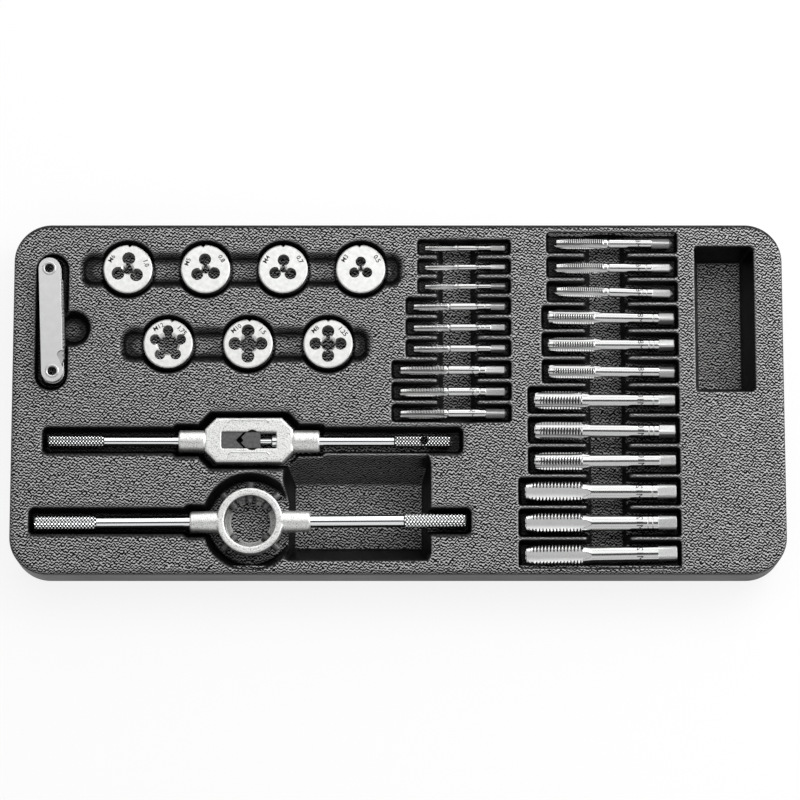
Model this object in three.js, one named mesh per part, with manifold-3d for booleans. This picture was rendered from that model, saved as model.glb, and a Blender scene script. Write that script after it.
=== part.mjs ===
// Tool drawer tray for a thread cutting set: a vacuum formed tray with fitted pockets that hold
// seven round dies, twenty one hand taps, an adjustable tap wrench, a die stock and a thread gauge.
// Millimetres, +Z up, +X along the tray, origin under the middle of the tray on the drawer floor.

import * as THREE from "three";
import { mergeVertices } from "three/addons/utils/BufferGeometryUtils.js";
import Module from "manifold-3d";

const wasm = await Module();
wasm.setup();

// Tray shell
const TRAY_LENGTH = 400;
const TRAY_WIDTH = 184;
const TRAY_HEIGHT = 27;
const TRAY_CORNER_RADIUS = 20;
const TRAY_EDGE_RADIUS = 3;
const TRAY_SKIRT_DRAFT = 0.6;
const SHEET = 2;
const OVERRUN = 1;
const LEAST_CORNER = 0.25;
const SEAT_GAP = 0.3;

// Empty box pocket at the right end
const BOX_LEFT = 153.9;
const BOX_WIDTH = 30.8;
const BOX_LENGTH = 76.2;
const BOX_BACK = 79.9;
const BOX_DRAFT = 4.1;
const BOX_CORNER = 3;

// Round dies and their two rows of pockets
const DIE_DIAMETER = 25.4;
const DIE_THICKNESS = 9;
const DIE_CHAMFER = 0.6;
const DIE_NOTCH = 1.3;
const DIE_DEPTH = 0.2;
const DIE_POCKET_DRAFT = 1.7;
const DIE_SIDE_CLEARANCE = 2.5;
const BAND_WIDTH = 18.4;
const BAND_DEPTH = 6.5;
const BAND_DRAFT = 3.4;
const BAND_LEFT_END = 10;
const BAND_RIGHT_END = 7;
const BAND_CORNER = 7.4;
// A row's place and spacing are shares of the tray's length, and its y a share of the tray's width
const DIE_ROWS = [
  {
    leftShare: -0.35075,
    spacingShare: 0.10075,
    backShare: 0.3685,
    dies: [
      { size: "m6", bore: 5, chipHoles: 3, chipRadius: 3.4, chipCircle: 5.5, turn: -5 },
      { size: "m5", bore: 4.2, chipHoles: 3, chipRadius: 3.2, chipCircle: 5, turn: 3 },
      { size: "m4", bore: 3.3, chipHoles: 3, chipRadius: 3.1, chipCircle: 4.6, turn: -3 },
      { size: "m3", bore: 2.5, chipHoles: 3, chipRadius: 2.7, chipCircle: 3.8, turn: 0 },
    ],
  },
  {
    leftShare: -0.2975,
    spacingShare: 0.1035,
    backShare: 0.1543,
    dies: [
      { size: "m12", bore: 10.2, chipHoles: 5, chipRadius: 2.8, chipCircle: 6.9, turn: 0 },
      { size: "m10", bore: 8.5, chipHoles: 4, chipRadius: 3.4, chipCircle: 6.7, turn: 0 },
      { size: "m8", bore: 6.8, chipHoles: 4, chipRadius: 3.25, chipCircle: 6.4, turn: 0 },
    ],
  },
];

// Hand taps, three of each size, and their two blocks of slots
const TAP_AXIS_DEPTH = 3.5;
const TAP_TIP_SHARE = 0.72;
const TAP_FLUTE_SHARE = 0.62;
const TAP_SQUARE_SHARE = 0.8;
const TAP_CORNER_SHARE = 0.97;
const TAP_SQUARE_STEP = 0.4;
const TAP_END_SHARE = 0.09;
const TAP_LEAD_SHARE = 0.22;
const TAP_ANGLE_SHARES = [-0.15, 0.15, 0.33, 0.67];
const TAP_LAND_SHARE = 0.25;
const THREE_FLUTES_UP_TO = 8;
const RIB = 2.4;
const TAP_FRONT_EDGE = 2.95;
const SLOT_DRAFT = 0.5;
const SLOT_CORNER = 1.6;
const SLOT_LEFT_END = 3.2;
const SLOT_RIGHT_END = 2.1;
const TROUGH_DEPTH = 14;
const TROUGH_DRAFT = 2.4;
const TROUGH_CORNER = 2.5;
const TROUGH_OVERHANG = 0.4;
// Each set gives the sizes of its three taps, the room for a rib and clearances beside each, and how
// each of them lies in its slot: its turn about its own axis and its slant in plan, in degrees
const SHORT_BLOCK = {
  right: 56.2,
  backEdge: 7.4,
  troughLeft: 19.8,
  troughWidth: 21.6,
  sets: [
    {
      size: "m3", thread: 3, shank: 3.2, length: 42.9, room: 7.2,
      cut: 16.4, runOut: 1.6, square: 7.3, point: 0.9,
      turns: [20, 5, 50], slants: [-0.3, 0.2, 0.1],
    },
    {
      size: "m4", thread: 4, shank: 4, length: 49, room: 7.1,
      cut: 18, runOut: 1.8, square: 7.3, point: 1.1,
      turns: [35, 10, 60], slants: [0.1, 0.2, -0.1],
    },
    {
      size: "m5", thread: 5, shank: 5, length: 56.2, room: 6.4,
      cut: 24, runOut: 2, square: 9.8, point: 1.4,
      turns: [0, 15, 45], slants: [-0.3, 0, 0],
    },
  ],
};
const LONG_BLOCK = {
  right: 142.8,
  backEdge: 3.75,
  troughLeft: 96.3,
  troughWidth: 23.2,
  sets: [
    {
      size: "m6", thread: 6, shank: 5.2, length: 62.4, room: 6.9,
      cut: 26, runOut: 3.4, square: 9.2, point: 2,
      turns: [45, 0, 8], slants: [-0.3, -0.4, -1.6],
    },
    {
      size: "m8", thread: 8, shank: 6, length: 65.2, room: 6.2,
      cut: 23.5, runOut: 4, square: 8, point: 0,
      turns: [-32, -25, 35], slants: [-0.9, -0.2, -0.5],
    },
    {
      size: "m10", thread: 10, shank: 7, length: 72.6, room: 5.8,
      cut: 24, runOut: 4.6, square: 8.5, point: 0,
      turns: [0, -22, 4], slants: [-0.2, -0.5, 0.3],
    },
    {
      size: "m12", thread: 12, shank: 8.5, length: 77.6, room: 4.2,
      cut: 28.6, runOut: 5.4, square: 9.7, point: 0,
      turns: [0, 3, -3], slants: [0, 0.2, 0.9],
    },
  ],
};

// Tap wrench, lying along +X
const WRENCH_X = -76.8;
const WRENCH_FROM_FRONT = 70.1;
const TOOL_AXIS_DEPTH = 6;
const WRENCH_BODY_LENGTH = 45.4;
const WRENCH_BODY_WIDTH = 23.2;
const WRENCH_BODY_THICKNESS = 10;
const WRENCH_FLAT_LENGTH = 33.8;
const WRENCH_BEVEL = 0.8;
const BOSS_LENGTH = 13.6;
const BOSS_DIAMETER = 11.4;
const WINDOW_LENGTH = 28.4;
const WINDOW_WIDTH = 8.8;
const WINDOW_BULGE_LENGTH = 8.2;
const WINDOW_BULGE = 1;
const WINDOW_BULGE_X = 1.6;
const GUIDE_DEPTH = 1.3;
const GUIDE_HEIGHT = 3;
const JAW_HEIGHT = 8.6;
const FIXED_JAW_LENGTH = 11;
const MOVING_JAW_LENGTH = 9.8;
const JAW_VEE = 3;
const JAW_OPENING = 1.9;
const JAW_NOSE_WIDTH = 1;
const JAW_NOTCH = 0.75;
const WRENCH_HANDLE = { rodDiameter: 5.5, rodLength: 38.4, gripDiameter: 6.6, gripLength: 29.2 };
const WRENCH_GRIP_HOLE = 4.2;
const WRENCH_GRIP_HOLE_X = 15.6;
const ROD_SEAT = 10;
const SCREW_DIAMETER = 6;
const SCREW_NECK_DIAMETER = 3;
const SCREW_HEAD_DIAMETER = 4.6;
const SCREW_HEAD_LENGTH = 1.6;
const SCREW_NECK_LENGTH = 7.6;
const ROD_CHAMFER = 0.7;

// Die stock, lying along +X
const STOCK_X = -76;
const STOCK_FROM_FRONT = 28.2;
const STOCK_SLANT = 0.35;
const RING_DIAMETER = 34;
const RING_HEIGHT = 11.4;
const RING_CHAMFER = 0.7;
const RING_SIDE_CLEARANCE = 0.5;
const LEDGE_DIAMETER = 20;
const LEDGE_THICKNESS = 2;
const STOCK_BOSS_LENGTH = 14;
const STOCK_BOSS_TAPER = 0.3;
const STOCK_HANDLE = { rodDiameter: 6.6, rodLength: 47.9, gripDiameter: 7.8, gripLength: 32.2 };
const SET_SCREW_DIAMETER = 4.4;
const SET_SCREW_LENGTH = 10.8;
const SET_SCREW_INNER = 9.6;
const SET_SCREW_POINT = 1.2;
const SET_SCREW_TIP_SHARE = 0.25;
const SET_SCREW_SLOT = 0.9;
const SET_SCREW_ANGLES = [45, 90, 135, 225, 315];

// Pockets of the two long tools
const LONG_SLOT_WIDTH = 13.6;
const LONG_SLOT_DRAFT = 1.2;
const LONG_SLOT_CORNER = 3;
const WRENCH_END_CLEARANCE = 6.3;
const BODY_WELL_SIDE = 3.4;
const BODY_WELL_CHAMFER = 6;
const BOSS_WELL_SIDE = 3;
const WELL_DRAFT = 2.2;
const HANDLE_END_CLEARANCE = 2.5;
const RING_WELL_DIAMETER = 50.6;
const STORE_LEFT = -59.4;
const STORE_RIGHT = 17;
const STORE_FROM_FRONT = 7.7;
const STORE_SLOPE_LEFT = 6.2;
const STORE_SLOPE_RIGHT = 4.6;
const STORE_SLOPE_FRONT = 8.4;
const STORE_SLOPE_BACK = 15;
const STORE_CORNER = 4;

// Thread gauge: two covers, eight leaves and two hollow rivets
const GAUGE_INSET = 20.8;
const GAUGE_BACK_SHARE = 0.2174;
const GAUGE_SLANT = 2.4;
const RIVET_SPACING = 54;
const COVER_WIDTH = 11.2;
const COVER_THICKNESS = 0.8;
const NAIL_NOTCH_START = 43.2;
const NAIL_NOTCH_LENGTH = 9.3;
const NAIL_NOTCH_DEPTH = 2.9;
const NAIL_NOTCH_ROUND = 2.6;
const LEAF_COUNT = 8;
const LEAF_THICKNESS = 0.4;
const LEAF_GAP = 0.15;
const LEAF_TIP_WIDTH = 6;
const LEAF_WIDTH = 9.4;
const LEAF_RISE = 0.4;
const RIVET_HOLE = 4.5;
const RIVET_SHANK = 5.4;
const RIVET_FLANGE = 7.2;
const RIVET_FLANGE_THICKNESS = 0.35;
const GAUGE_SLOT_WIDTH = 16.9;
const GAUGE_SLOT_LENGTH = 71.3;
const GAUGE_SLOT_DEPTH = 5;
const GAUGE_SLOT_DRAFT = 0.8;
const GAUGE_SLOT_CORNER = 8.2;
const GAUGE_LAND_WIDTH = 8;
const GAUGE_LAND_END = 5;
const GAUGE_LAND_CORNER = 2;
const NOTCH_RADIUS = 9.5;
const NOTCH_REACH = 10.9;
const NOTCH_DEPTH = 9;
const NOTCH_DRAFT = 3;
const NOTCH_ALONG = -3.2;

const degrees = THREE.MathUtils.degToRad;
const TOP = TRAY_HEIGHT;

// Finishes
function finish(colour, roughness, metalness) {
  return new THREE.MeshStandardMaterial({ color: colour, roughness, metalness });
}

function blackPlastic() {
  return finish(0x262727, 0.5, 0);
}

function groundSteel() {
  return finish(0xb8b9b8, 0.32, 1);
}

function satinDieSteel() {
  return finish(0xc9cac8, 0.38, 1);
}

function castZinc() {
  return finish(0xc2c3c1, 0.5, 1);
}

function chromedSteel() {
  return finish(0xd2d4d5, 0.16, 1);
}

function darkSteel() {
  return finish(0x54565a, 0.42, 1);
}

function rolledSheetSteel() {
  return finish(0xcfcfcc, 0.36, 1);
}

// Solids that can be joined and cut
function solidOf(geometry) {
  const bare = geometry.clone();
  bare.deleteAttribute("normal");
  bare.deleteAttribute("uv");
  const merged = mergeVertices(bare);
  const triVerts = new Uint32Array(merged.index.array);
  const vertProperties = merged.attributes.position.array;
  return new wasm.Manifold(new wasm.Mesh({ numProp: 3, vertProperties, triVerts }));
}

function geometryOf(solid) {
  const mesh = solid.getMesh();
  const geometry = new THREE.BufferGeometry();
  geometry.setAttribute("position", new THREE.BufferAttribute(mesh.vertProperties, 3));
  geometry.setIndex(new THREE.BufferAttribute(mesh.triVerts, 1));
  const flat = geometry.toNonIndexed();
  flat.computeVertexNormals();
  return flat;
}

function joined(solids) {
  return solids.reduce((whole, piece) => whole.add(piece));
}

function named(name, geometry, material) {
  const mesh = new THREE.Mesh(geometry, material);
  mesh.name = name;
  return mesh;
}

// A closed skin through rings of points, each ring star shaped about its own middle
function loft(rings) {
  const count = rings[0].length;
  const points = rings.flat();
  const middles = [rings[0], rings[rings.length - 1]].map((ring) => {
    const middle = new THREE.Vector3();
    ring.forEach((point) => middle.addScaledVector(point, 1 / count));
    return middle;
  });
  const first = points.length;
  const last = first + 1;
  const triangles = [];
  for (let step = 0; step < count; step += 1) {
    const next = (step + 1) % count;
    const end = (rings.length - 1) * count;
    triangles.push([first, next, step], [last, end + step, end + next]);
    for (let ring = 0; ring < rings.length - 1; ring += 1) {
      const low = ring * count;
      const high = low + count;
      triangles.push([low + step, low + next, high + next], [low + step, high + next, high + step]);
    }
  }
  const positions = [...points, ...middles].flatMap((point) => point.toArray());
  const geometry = new THREE.BufferGeometry();
  geometry.setAttribute("position", new THREE.Float32BufferAttribute(positions, 3));
  geometry.setIndex(triangles.flat());
  return geometry;
}

// A level ring: a rectangle with rounded corners, or cut corners where cornerSteps is 1
function rectangleRing(left, right, front, back, radius, z, cornerSteps) {
  const ring = [];
  const corners = [
    [right - radius, back - radius, 0],
    [left + radius, back - radius, 90],
    [left + radius, front + radius, 180],
    [right - radius, front + radius, 270],
  ];
  for (const [x, y, start] of corners) {
    for (let step = 0; step <= cornerSteps; step += 1) {
      const angle = degrees(start + (90 * step) / cornerSteps);
      ring.push(new THREE.Vector3(x + radius * Math.cos(angle), y + radius * Math.sin(angle), z));
    }
  }
  return ring;
}

// A level ring of equal steps about a point
function roundRing(x, y, radius, z, sides) {
  return Array.from({ length: sides }, (_, side) => {
    const angle = degrees((360 * side) / sides);
    return new THREE.Vector3(x + radius * Math.cos(angle), y + radius * Math.sin(angle), z);
  });
}

// One drafted well: its mouth at the tray's top face and its floor, or the same grown by the sheet
class Well {
  constructor(mouth, floor, depth, corner, cornerSteps) {
    Object.assign(this, { mouth, floor, depth, corner, cornerSteps });
  }

  static drafted(left, right, front, back, depth, draft, corner, cornerSteps = 1) {
    const mouth = [left, right, front, back];
    const floor = [left + draft, right - draft, front + draft, back - draft];
    return new Well(mouth, floor, depth, corner, cornerSteps);
  }

  static round(x, y, radius, depth, draft, sides) {
    const well = Well.drafted(x - radius, x + radius, y - radius, y + radius, depth, draft, radius);
    well.sides = sides;
    return well;
  }

  ring([left, right, front, back], z, grow, lost) {
    if (this.sides) {
      return roundRing((left + right) / 2, (front + back) / 2, (right - left) / 2 + grow, z, this.sides);
    }
    const radius = Math.max(this.corner - lost + grow, LEAST_CORNER);
    const sides = [left - grow, right + grow, front - grow, back + grow];
    return rectangleRing(...sides, radius, z, this.cornerSteps);
  }

  // The mouth runs on above the top face at the same slope
  solid(grow = 0) {
    const { mouth, floor, depth } = this;
    const above = mouth.map((side, index) => side + ((side - floor[index]) * OVERRUN) / depth);
    const lost = floor[0] - mouth[0];
    const top = this.ring(above, TOP + OVERRUN, grow, 0);
    const bottom = this.ring(floor, TOP - depth - grow, grow, lost);
    return solidOf(loft([bottom, top]));
  }
}

// Where things stand across the tray
const dieSeatDepth = DIE_DEPTH + DIE_THICKNESS + SEAT_GAP;
const diePocketRadius = DIE_DIAMETER / 2 + DIE_SIDE_CLEARANCE;
const wrenchSeatDepth = TOOL_AXIS_DEPTH + BOSS_DIAMETER / 2 + SEAT_GAP;
const wrenchBossEnd = WRENCH_BODY_LENGTH / 2 + BOSS_LENGTH;
const stockBossEnd = RING_DIAMETER / 2 + STOCK_BOSS_LENGTH;
const wrenchReach = wrenchBossEnd + WRENCH_HANDLE.rodLength + WRENCH_HANDLE.gripLength;
const stockReach = stockBossEnd + STOCK_HANDLE.rodLength + STOCK_HANDLE.gripLength;
const boxDepth = TRAY_HEIGHT - SHEET;
const leafStack = LEAF_COUNT * (LEAF_THICKNESS + LEAF_GAP);
const gaugeLandDepth = SEAT_GAP + RIVET_FLANGE_THICKNESS + 2 * LEAF_GAP + COVER_THICKNESS - LEAF_RISE;

const gaugeX = GAUGE_INSET - TRAY_LENGTH / 2;
const gaugeY = GAUGE_BACK_SHARE * TRAY_WIDTH;
const wrenchY = WRENCH_FROM_FRONT - TRAY_WIDTH / 2;
const stockY = STOCK_FROM_FRONT - TRAY_WIDTH / 2;
const storeFront = STORE_FROM_FRONT - TRAY_WIDTH / 2;

function placedDies(row) {
  return row.dies.map((die, place) => ({
    ...die,
    x: (row.leftShare + row.spacingShare * place) * TRAY_LENGTH,
    y: row.backShare * TRAY_WIDTH,
  }));
}

// The long block fills the tray's width: what its threads leave is shared out as ribs and clearances
function roomShare() {
  const total = (value) => LONG_BLOCK.sets.reduce((sum, set) => sum + 3 * set[value], 0);
  return (TRAY_WIDTH - LONG_BLOCK.backEdge - TAP_FRONT_EDGE - total("thread")) / total("room");
}

const ribWidth = RIB * roomShare();

function rowSpacing(set) {
  return set.thread + set.room * roomShare();
}

// Rows of one tap block, from the back of the tray to the front
function tapRows(block) {
  const rows = [];
  let y = TRAY_WIDTH / 2 - block.backEdge;
  for (const set of block.sets) {
    for (let place = 0; place < 3; place += 1) {
      rows.push({ set, place, y: y - rowSpacing(set) / 2 });
      y -= rowSpacing(set);
    }
  }
  return rows;
}

function slotEdges(block, set) {
  return { left: block.right - set.length - SLOT_LEFT_END, right: block.right + SLOT_RIGHT_END };
}

function tapBlockWells(block) {
  const wells = [];
  const troughRight = block.troughLeft + block.troughWidth;
  for (const { set, y } of tapRows(block)) {
    const { left, right } = slotEdges(block, set);
    const side = (rowSpacing(set) - ribWidth) / 2;
    const threadDepth = TAP_AXIS_DEPTH + set.thread / 2 + SEAT_GAP;
    const shankDepth = TAP_AXIS_DEPTH + set.shank / 2 + SEAT_GAP;
    const into = TROUGH_DRAFT + TROUGH_CORNER;
    const front = y - side;
    const back = y + side;
    const threadEnd = block.troughLeft + into;
    const shankStart = troughRight - into;
    wells.push(Well.drafted(left, threadEnd, front, back, threadDepth, SLOT_DRAFT, SLOT_CORNER));
    wells.push(Well.drafted(shankStart, right, front, back, shankDepth, SLOT_DRAFT, SLOT_CORNER));
  }
  return wells;
}

function troughWell(block) {
  const rows = tapRows(block);
  const first = rows[0];
  const last = rows[rows.length - 1];
  const back = first.y + (rowSpacing(first.set) - ribWidth) / 2 + TROUGH_OVERHANG;
  const front = last.y - (rowSpacing(last.set) - ribWidth) / 2 - TROUGH_OVERHANG;
  const right = block.troughLeft + block.troughWidth;
  return Well.drafted(block.troughLeft, right, front, back, TROUGH_DEPTH, TROUGH_DRAFT, TROUGH_CORNER);
}

// Under the tray one plain step carries the three slots of a size, at each side of the trough
function tapBlockUndersides(block) {
  const rows = tapRows(block);
  const troughRight = block.troughLeft + block.troughWidth;
  const deepest = TAP_AXIS_DEPTH + block.sets[block.sets.length - 1].shank / 2 + SEAT_GAP;
  const outer = troughWell(block).mouth;
  const { right } = slotEdges(block, block.sets[0]);
  const rightStep = Well.drafted(
    troughRight - TROUGH_DRAFT, right, outer[2], outer[3], deepest, SLOT_DRAFT, SLOT_CORNER, 1,
  );
  const leftSteps = block.sets.map((set, index) => {
    const own = rows.filter((row) => row.set === set);
    const following = block.sets[index + 1];
    const side = (rowSpacing(set) - ribWidth) / 2;
    const back = own[0].y + side;
    const front = own[own.length - 1].y - side - (following ? ribWidth : 0);
    const depth = TAP_AXIS_DEPTH + set.thread / 2 + SEAT_GAP;
    const { left } = slotEdges(block, set);
    return Well.drafted(
      left, block.troughLeft + TROUGH_DRAFT, front, back, depth, SLOT_DRAFT, SLOT_CORNER, 1,
    );
  });
  return [rightStep, ...leftSteps, troughWell(block)];
}

// A round pocket for each die of a row, and a shallow band through the row for the fingers
function dieRowWells(row) {
  const dies = placedDies(row);
  const pockets = dies.map(({ x, y }) =>
    Well.round(x, y, diePocketRadius, dieSeatDepth, DIE_POCKET_DRAFT, 16),
  );
  const left = dies[0].x - diePocketRadius - BAND_LEFT_END;
  const right = dies[dies.length - 1].x + diePocketRadius + BAND_RIGHT_END;
  const front = dies[0].y - BAND_WIDTH / 2;
  const back = dies[0].y + BAND_WIDTH / 2;
  return [...pockets, Well.drafted(left, right, front, back, BAND_DEPTH, BAND_DRAFT, BAND_CORNER, 2)];
}

function gaugeWells() {
  const halfWidth = GAUGE_SLOT_WIDTH / 2;
  const halfLength = GAUGE_SLOT_LENGTH / 2;
  const slot = Well.drafted(
    gaugeX - halfWidth, gaugeX + halfWidth, gaugeY - halfLength, gaugeY + halfLength,
    GAUGE_SLOT_DEPTH, GAUGE_SLOT_DRAFT, GAUGE_SLOT_CORNER, 3,
  );
  const notchX = gaugeX + NOTCH_REACH;
  const notchY = gaugeY + NOTCH_ALONG;
  const notch = Well.round(notchX, notchY, NOTCH_RADIUS, NOTCH_DEPTH, NOTCH_DRAFT, 16);
  return { slot, notch };
}

// The raised land that the gauge's rivets rest on, left standing in the middle of its slot
function gaugeLand() {
  const half = GAUGE_LAND_WIDTH / 2;
  const reach = RIVET_SPACING / 2 + GAUGE_LAND_END;
  const sides = [gaugeX - half, gaugeX + half, gaugeY - reach, gaugeY + reach];
  const foot = rectangleRing(...sides, GAUGE_LAND_CORNER, TOP - GAUGE_SLOT_DEPTH - SHEET / 2, 2);
  const head = rectangleRing(...sides, GAUGE_LAND_CORNER, TOP - gaugeLandDepth, 2);
  return solidOf(loft([foot, head]));
}

function wrenchWells() {
  const slotHalf = LONG_SLOT_WIDTH / 2;
  const gripDepth = TOOL_AXIS_DEPTH + WRENCH_HANDLE.gripDiameter / 2 + SEAT_GAP;
  const left = WRENCH_X - wrenchReach - HANDLE_END_CLEARANCE;
  const right = WRENCH_X + wrenchReach + WRENCH_END_CLEARANCE;
  const bodyHalf = WRENCH_BODY_LENGTH / 2 + BODY_WELL_SIDE;
  const bossHalf = WRENCH_BODY_LENGTH / 2 + BOSS_LENGTH + BODY_WELL_SIDE;
  const bodySide = WRENCH_BODY_WIDTH / 2 + BODY_WELL_SIDE;
  const bossSide = BOSS_DIAMETER / 2 + BOSS_WELL_SIDE;
  const y = wrenchY;
  return [
    Well.drafted(left, right, y - slotHalf, y + slotHalf, gripDepth, LONG_SLOT_DRAFT, LONG_SLOT_CORNER),
    Well.drafted(
      WRENCH_X - bossHalf, WRENCH_X + bossHalf, y - bossSide, y + bossSide,
      wrenchSeatDepth, WELL_DRAFT, LONG_SLOT_CORNER,
    ),
    Well.drafted(
      WRENCH_X - bodyHalf, WRENCH_X + bodyHalf, y - bodySide, y + bodySide,
      wrenchSeatDepth, WELL_DRAFT, BODY_WELL_CHAMFER, 1,
    ),
  ];
}

function stockWells() {
  const slotHalf = LONG_SLOT_WIDTH / 2;
  const seat = TOOL_AXIS_DEPTH + RING_HEIGHT / 2 + SEAT_GAP;
  const gripDepth = TOOL_AXIS_DEPTH + STOCK_HANDLE.gripDiameter / 2 + SEAT_GAP;
  const reach = stockReach + HANDLE_END_CLEARANCE;
  const bossHalf = RING_DIAMETER / 2 + STOCK_BOSS_LENGTH + BODY_WELL_SIDE;
  const bossSide = BOSS_DIAMETER / 2 + BOSS_WELL_SIDE;
  const y = stockY;
  return [
    Well.drafted(
      STOCK_X - reach, STOCK_X + reach, y - slotHalf, y + slotHalf,
      gripDepth, LONG_SLOT_DRAFT, LONG_SLOT_CORNER,
    ),
    Well.drafted(
      STOCK_X - bossHalf, STOCK_X + bossHalf, y - bossSide, y + bossSide,
      seat, WELL_DRAFT, LONG_SLOT_CORNER,
    ),
    Well.round(STOCK_X, y, RING_WELL_DIAMETER / 2, seat, WELL_DRAFT, 24),
  ];
}

// The deep store under the right handles of both long tools, with a long slope at its back
function storeWell() {
  const back = wrenchY - LONG_SLOT_WIDTH / 2 + LONG_SLOT_DRAFT + SEAT_GAP;
  const mouth = [STORE_LEFT, STORE_RIGHT, storeFront, back];
  const floor = [
    STORE_LEFT + STORE_SLOPE_LEFT,
    STORE_RIGHT - STORE_SLOPE_RIGHT,
    storeFront + STORE_SLOPE_FRONT,
    back - STORE_SLOPE_BACK,
  ];
  return new Well(mouth, floor, boxDepth, STORE_CORNER, 2);
}

function boxWell() {
  return Well.drafted(
    BOX_LEFT, BOX_LEFT + BOX_WIDTH, BOX_BACK - BOX_LENGTH, BOX_BACK, boxDepth, BOX_DRAFT, BOX_CORNER, 3,
  );
}

// The rounded block of the tray, or the hollow under it where inset is the sheet's thickness
function trayBlock(inset, foot) {
  const halfLength = TRAY_LENGTH / 2;
  const halfWidth = TRAY_WIDTH / 2;
  const edge = TRAY_EDGE_RADIUS - inset / 2;
  const shoulder = TRAY_HEIGHT - inset - edge;
  const turns = [0, 45, 90];
  const levels = turns.map((turn) => ({
    z: shoulder + edge * Math.sin(degrees(turn)),
    in: TRAY_SKIRT_DRAFT + inset + edge * (1 - Math.cos(degrees(turn))),
  }));
  const rings = [{ z: foot, in: inset }, ...levels].map((level) => {
    const length = halfLength - level.in;
    const width = halfWidth - level.in;
    const radius = TRAY_CORNER_RADIUS - level.in;
    return rectangleRing(-length, length, -width, width, radius, level.z, 5);
  });
  return solidOf(loft(rings));
}

// The tray is one formed sheet: the rounded block, hollow below, with every well let into it
function tray() {
  const gauge = gaugeWells();
  const others = [
    ...DIE_ROWS.flatMap(dieRowWells), ...wrenchWells(), ...stockWells(),
    storeWell(), boxWell(), gauge.notch, troughWell(SHORT_BLOCK), troughWell(LONG_BLOCK),
  ];
  const slots = [...tapBlockWells(SHORT_BLOCK), ...tapBlockWells(LONG_BLOCK)];
  const undersides = [...tapBlockUndersides(SHORT_BLOCK), ...tapBlockUndersides(LONG_BLOCK)];
  const outside = trayBlock(0, 0);
  const grown = [...others, gauge.slot, ...undersides].map((well) => well.solid(SHEET));
  const hollow = trayBlock(SHEET, -OVERRUN).subtract(joined(grown));
  const sheet = outside.subtract(hollow);
  const gaugeSlot = gauge.slot.solid().subtract(gaugeLand());
  const cut = joined([gaugeSlot, ...[...others, ...slots].map((well) => well.solid())]);
  return named("tray", geometryOf(sheet.subtract(cut)), blackPlastic());
}

// A round bar along +X from a profile of [x, radius] pairs, closed on its axis at both ends
function turnedBar(profile, sides = 12) {
  const first = profile[0][0];
  const last = profile[profile.length - 1][0];
  const points = [[first, 0], ...profile, [last, 0]].map(([x, radius]) => new THREE.Vector2(radius, x));
  return new THREE.LatheGeometry(points, sides).rotateZ(-Math.PI / 2);
}

// A round die: chip clearing holes broken into the threaded bore, and a notch in the rim
function roundDie(die) {
  const half = DIE_THICKNESS / 2;
  const radius = DIE_DIAMETER / 2;
  const face = radius - DIE_CHAMFER;
  const profile = [[-half, face], [DIE_CHAMFER - half, radius], [half - DIE_CHAMFER, radius], [half, face]];
  const disc = turnedBar(profile, 20);
  const through = DIE_THICKNESS + 2 * OVERRUN;
  const bore = new THREE.CylinderGeometry(die.bore / 2, die.bore / 2, through, 10).rotateX(Math.PI / 2);
  const holes = Array.from({ length: die.chipHoles }, (_, index) => {
    const angle = degrees(90 + die.turn + (360 * index) / die.chipHoles);
    const hole = new THREE.CylinderGeometry(die.chipRadius, die.chipRadius, through, 8);
    const [x, y] = [die.chipCircle * Math.cos(angle), die.chipCircle * Math.sin(angle)];
    return solidOf(hole.rotateX(Math.PI / 2).translate(x, y, 0));
  });
  const notch = new THREE.CylinderGeometry(DIE_NOTCH, DIE_NOTCH, through, 4).rotateX(Math.PI / 2);
  const cuts = joined([solidOf(bore), ...holes, solidOf(notch.translate(0, radius, 0))]);
  const solid = solidOf(disc.rotateY(-Math.PI / 2)).subtract(cuts);
  const mesh = named(`die_${die.size}`, geometryOf(solid), satinDieSteel());
  mesh.position.set(die.x, die.y, TOP - DIE_DEPTH - half);
  return mesh;
}

// One ring of a tap at x: lands and flutes, a circle or a square, as radiusAt tells
function tapRing(x, angles, radiusAt) {
  return angles.map((angle) => {
    const radius = radiusAt(angle);
    return new THREE.Vector3(x, radius * Math.cos(angle), radius * Math.sin(angle));
  });
}

// Small sizes have three flutes and large ones four, with two points on each land and each flute
function tapAngles(flutes) {
  const angles = [];
  const sector = 360 / flutes;
  for (let flute = 0; flute < flutes; flute += 1) {
    for (const share of TAP_ANGLE_SHARES) {
      angles.push(degrees(90 + sector * (flute + share)));
    }
  }
  return angles;
}

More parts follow.
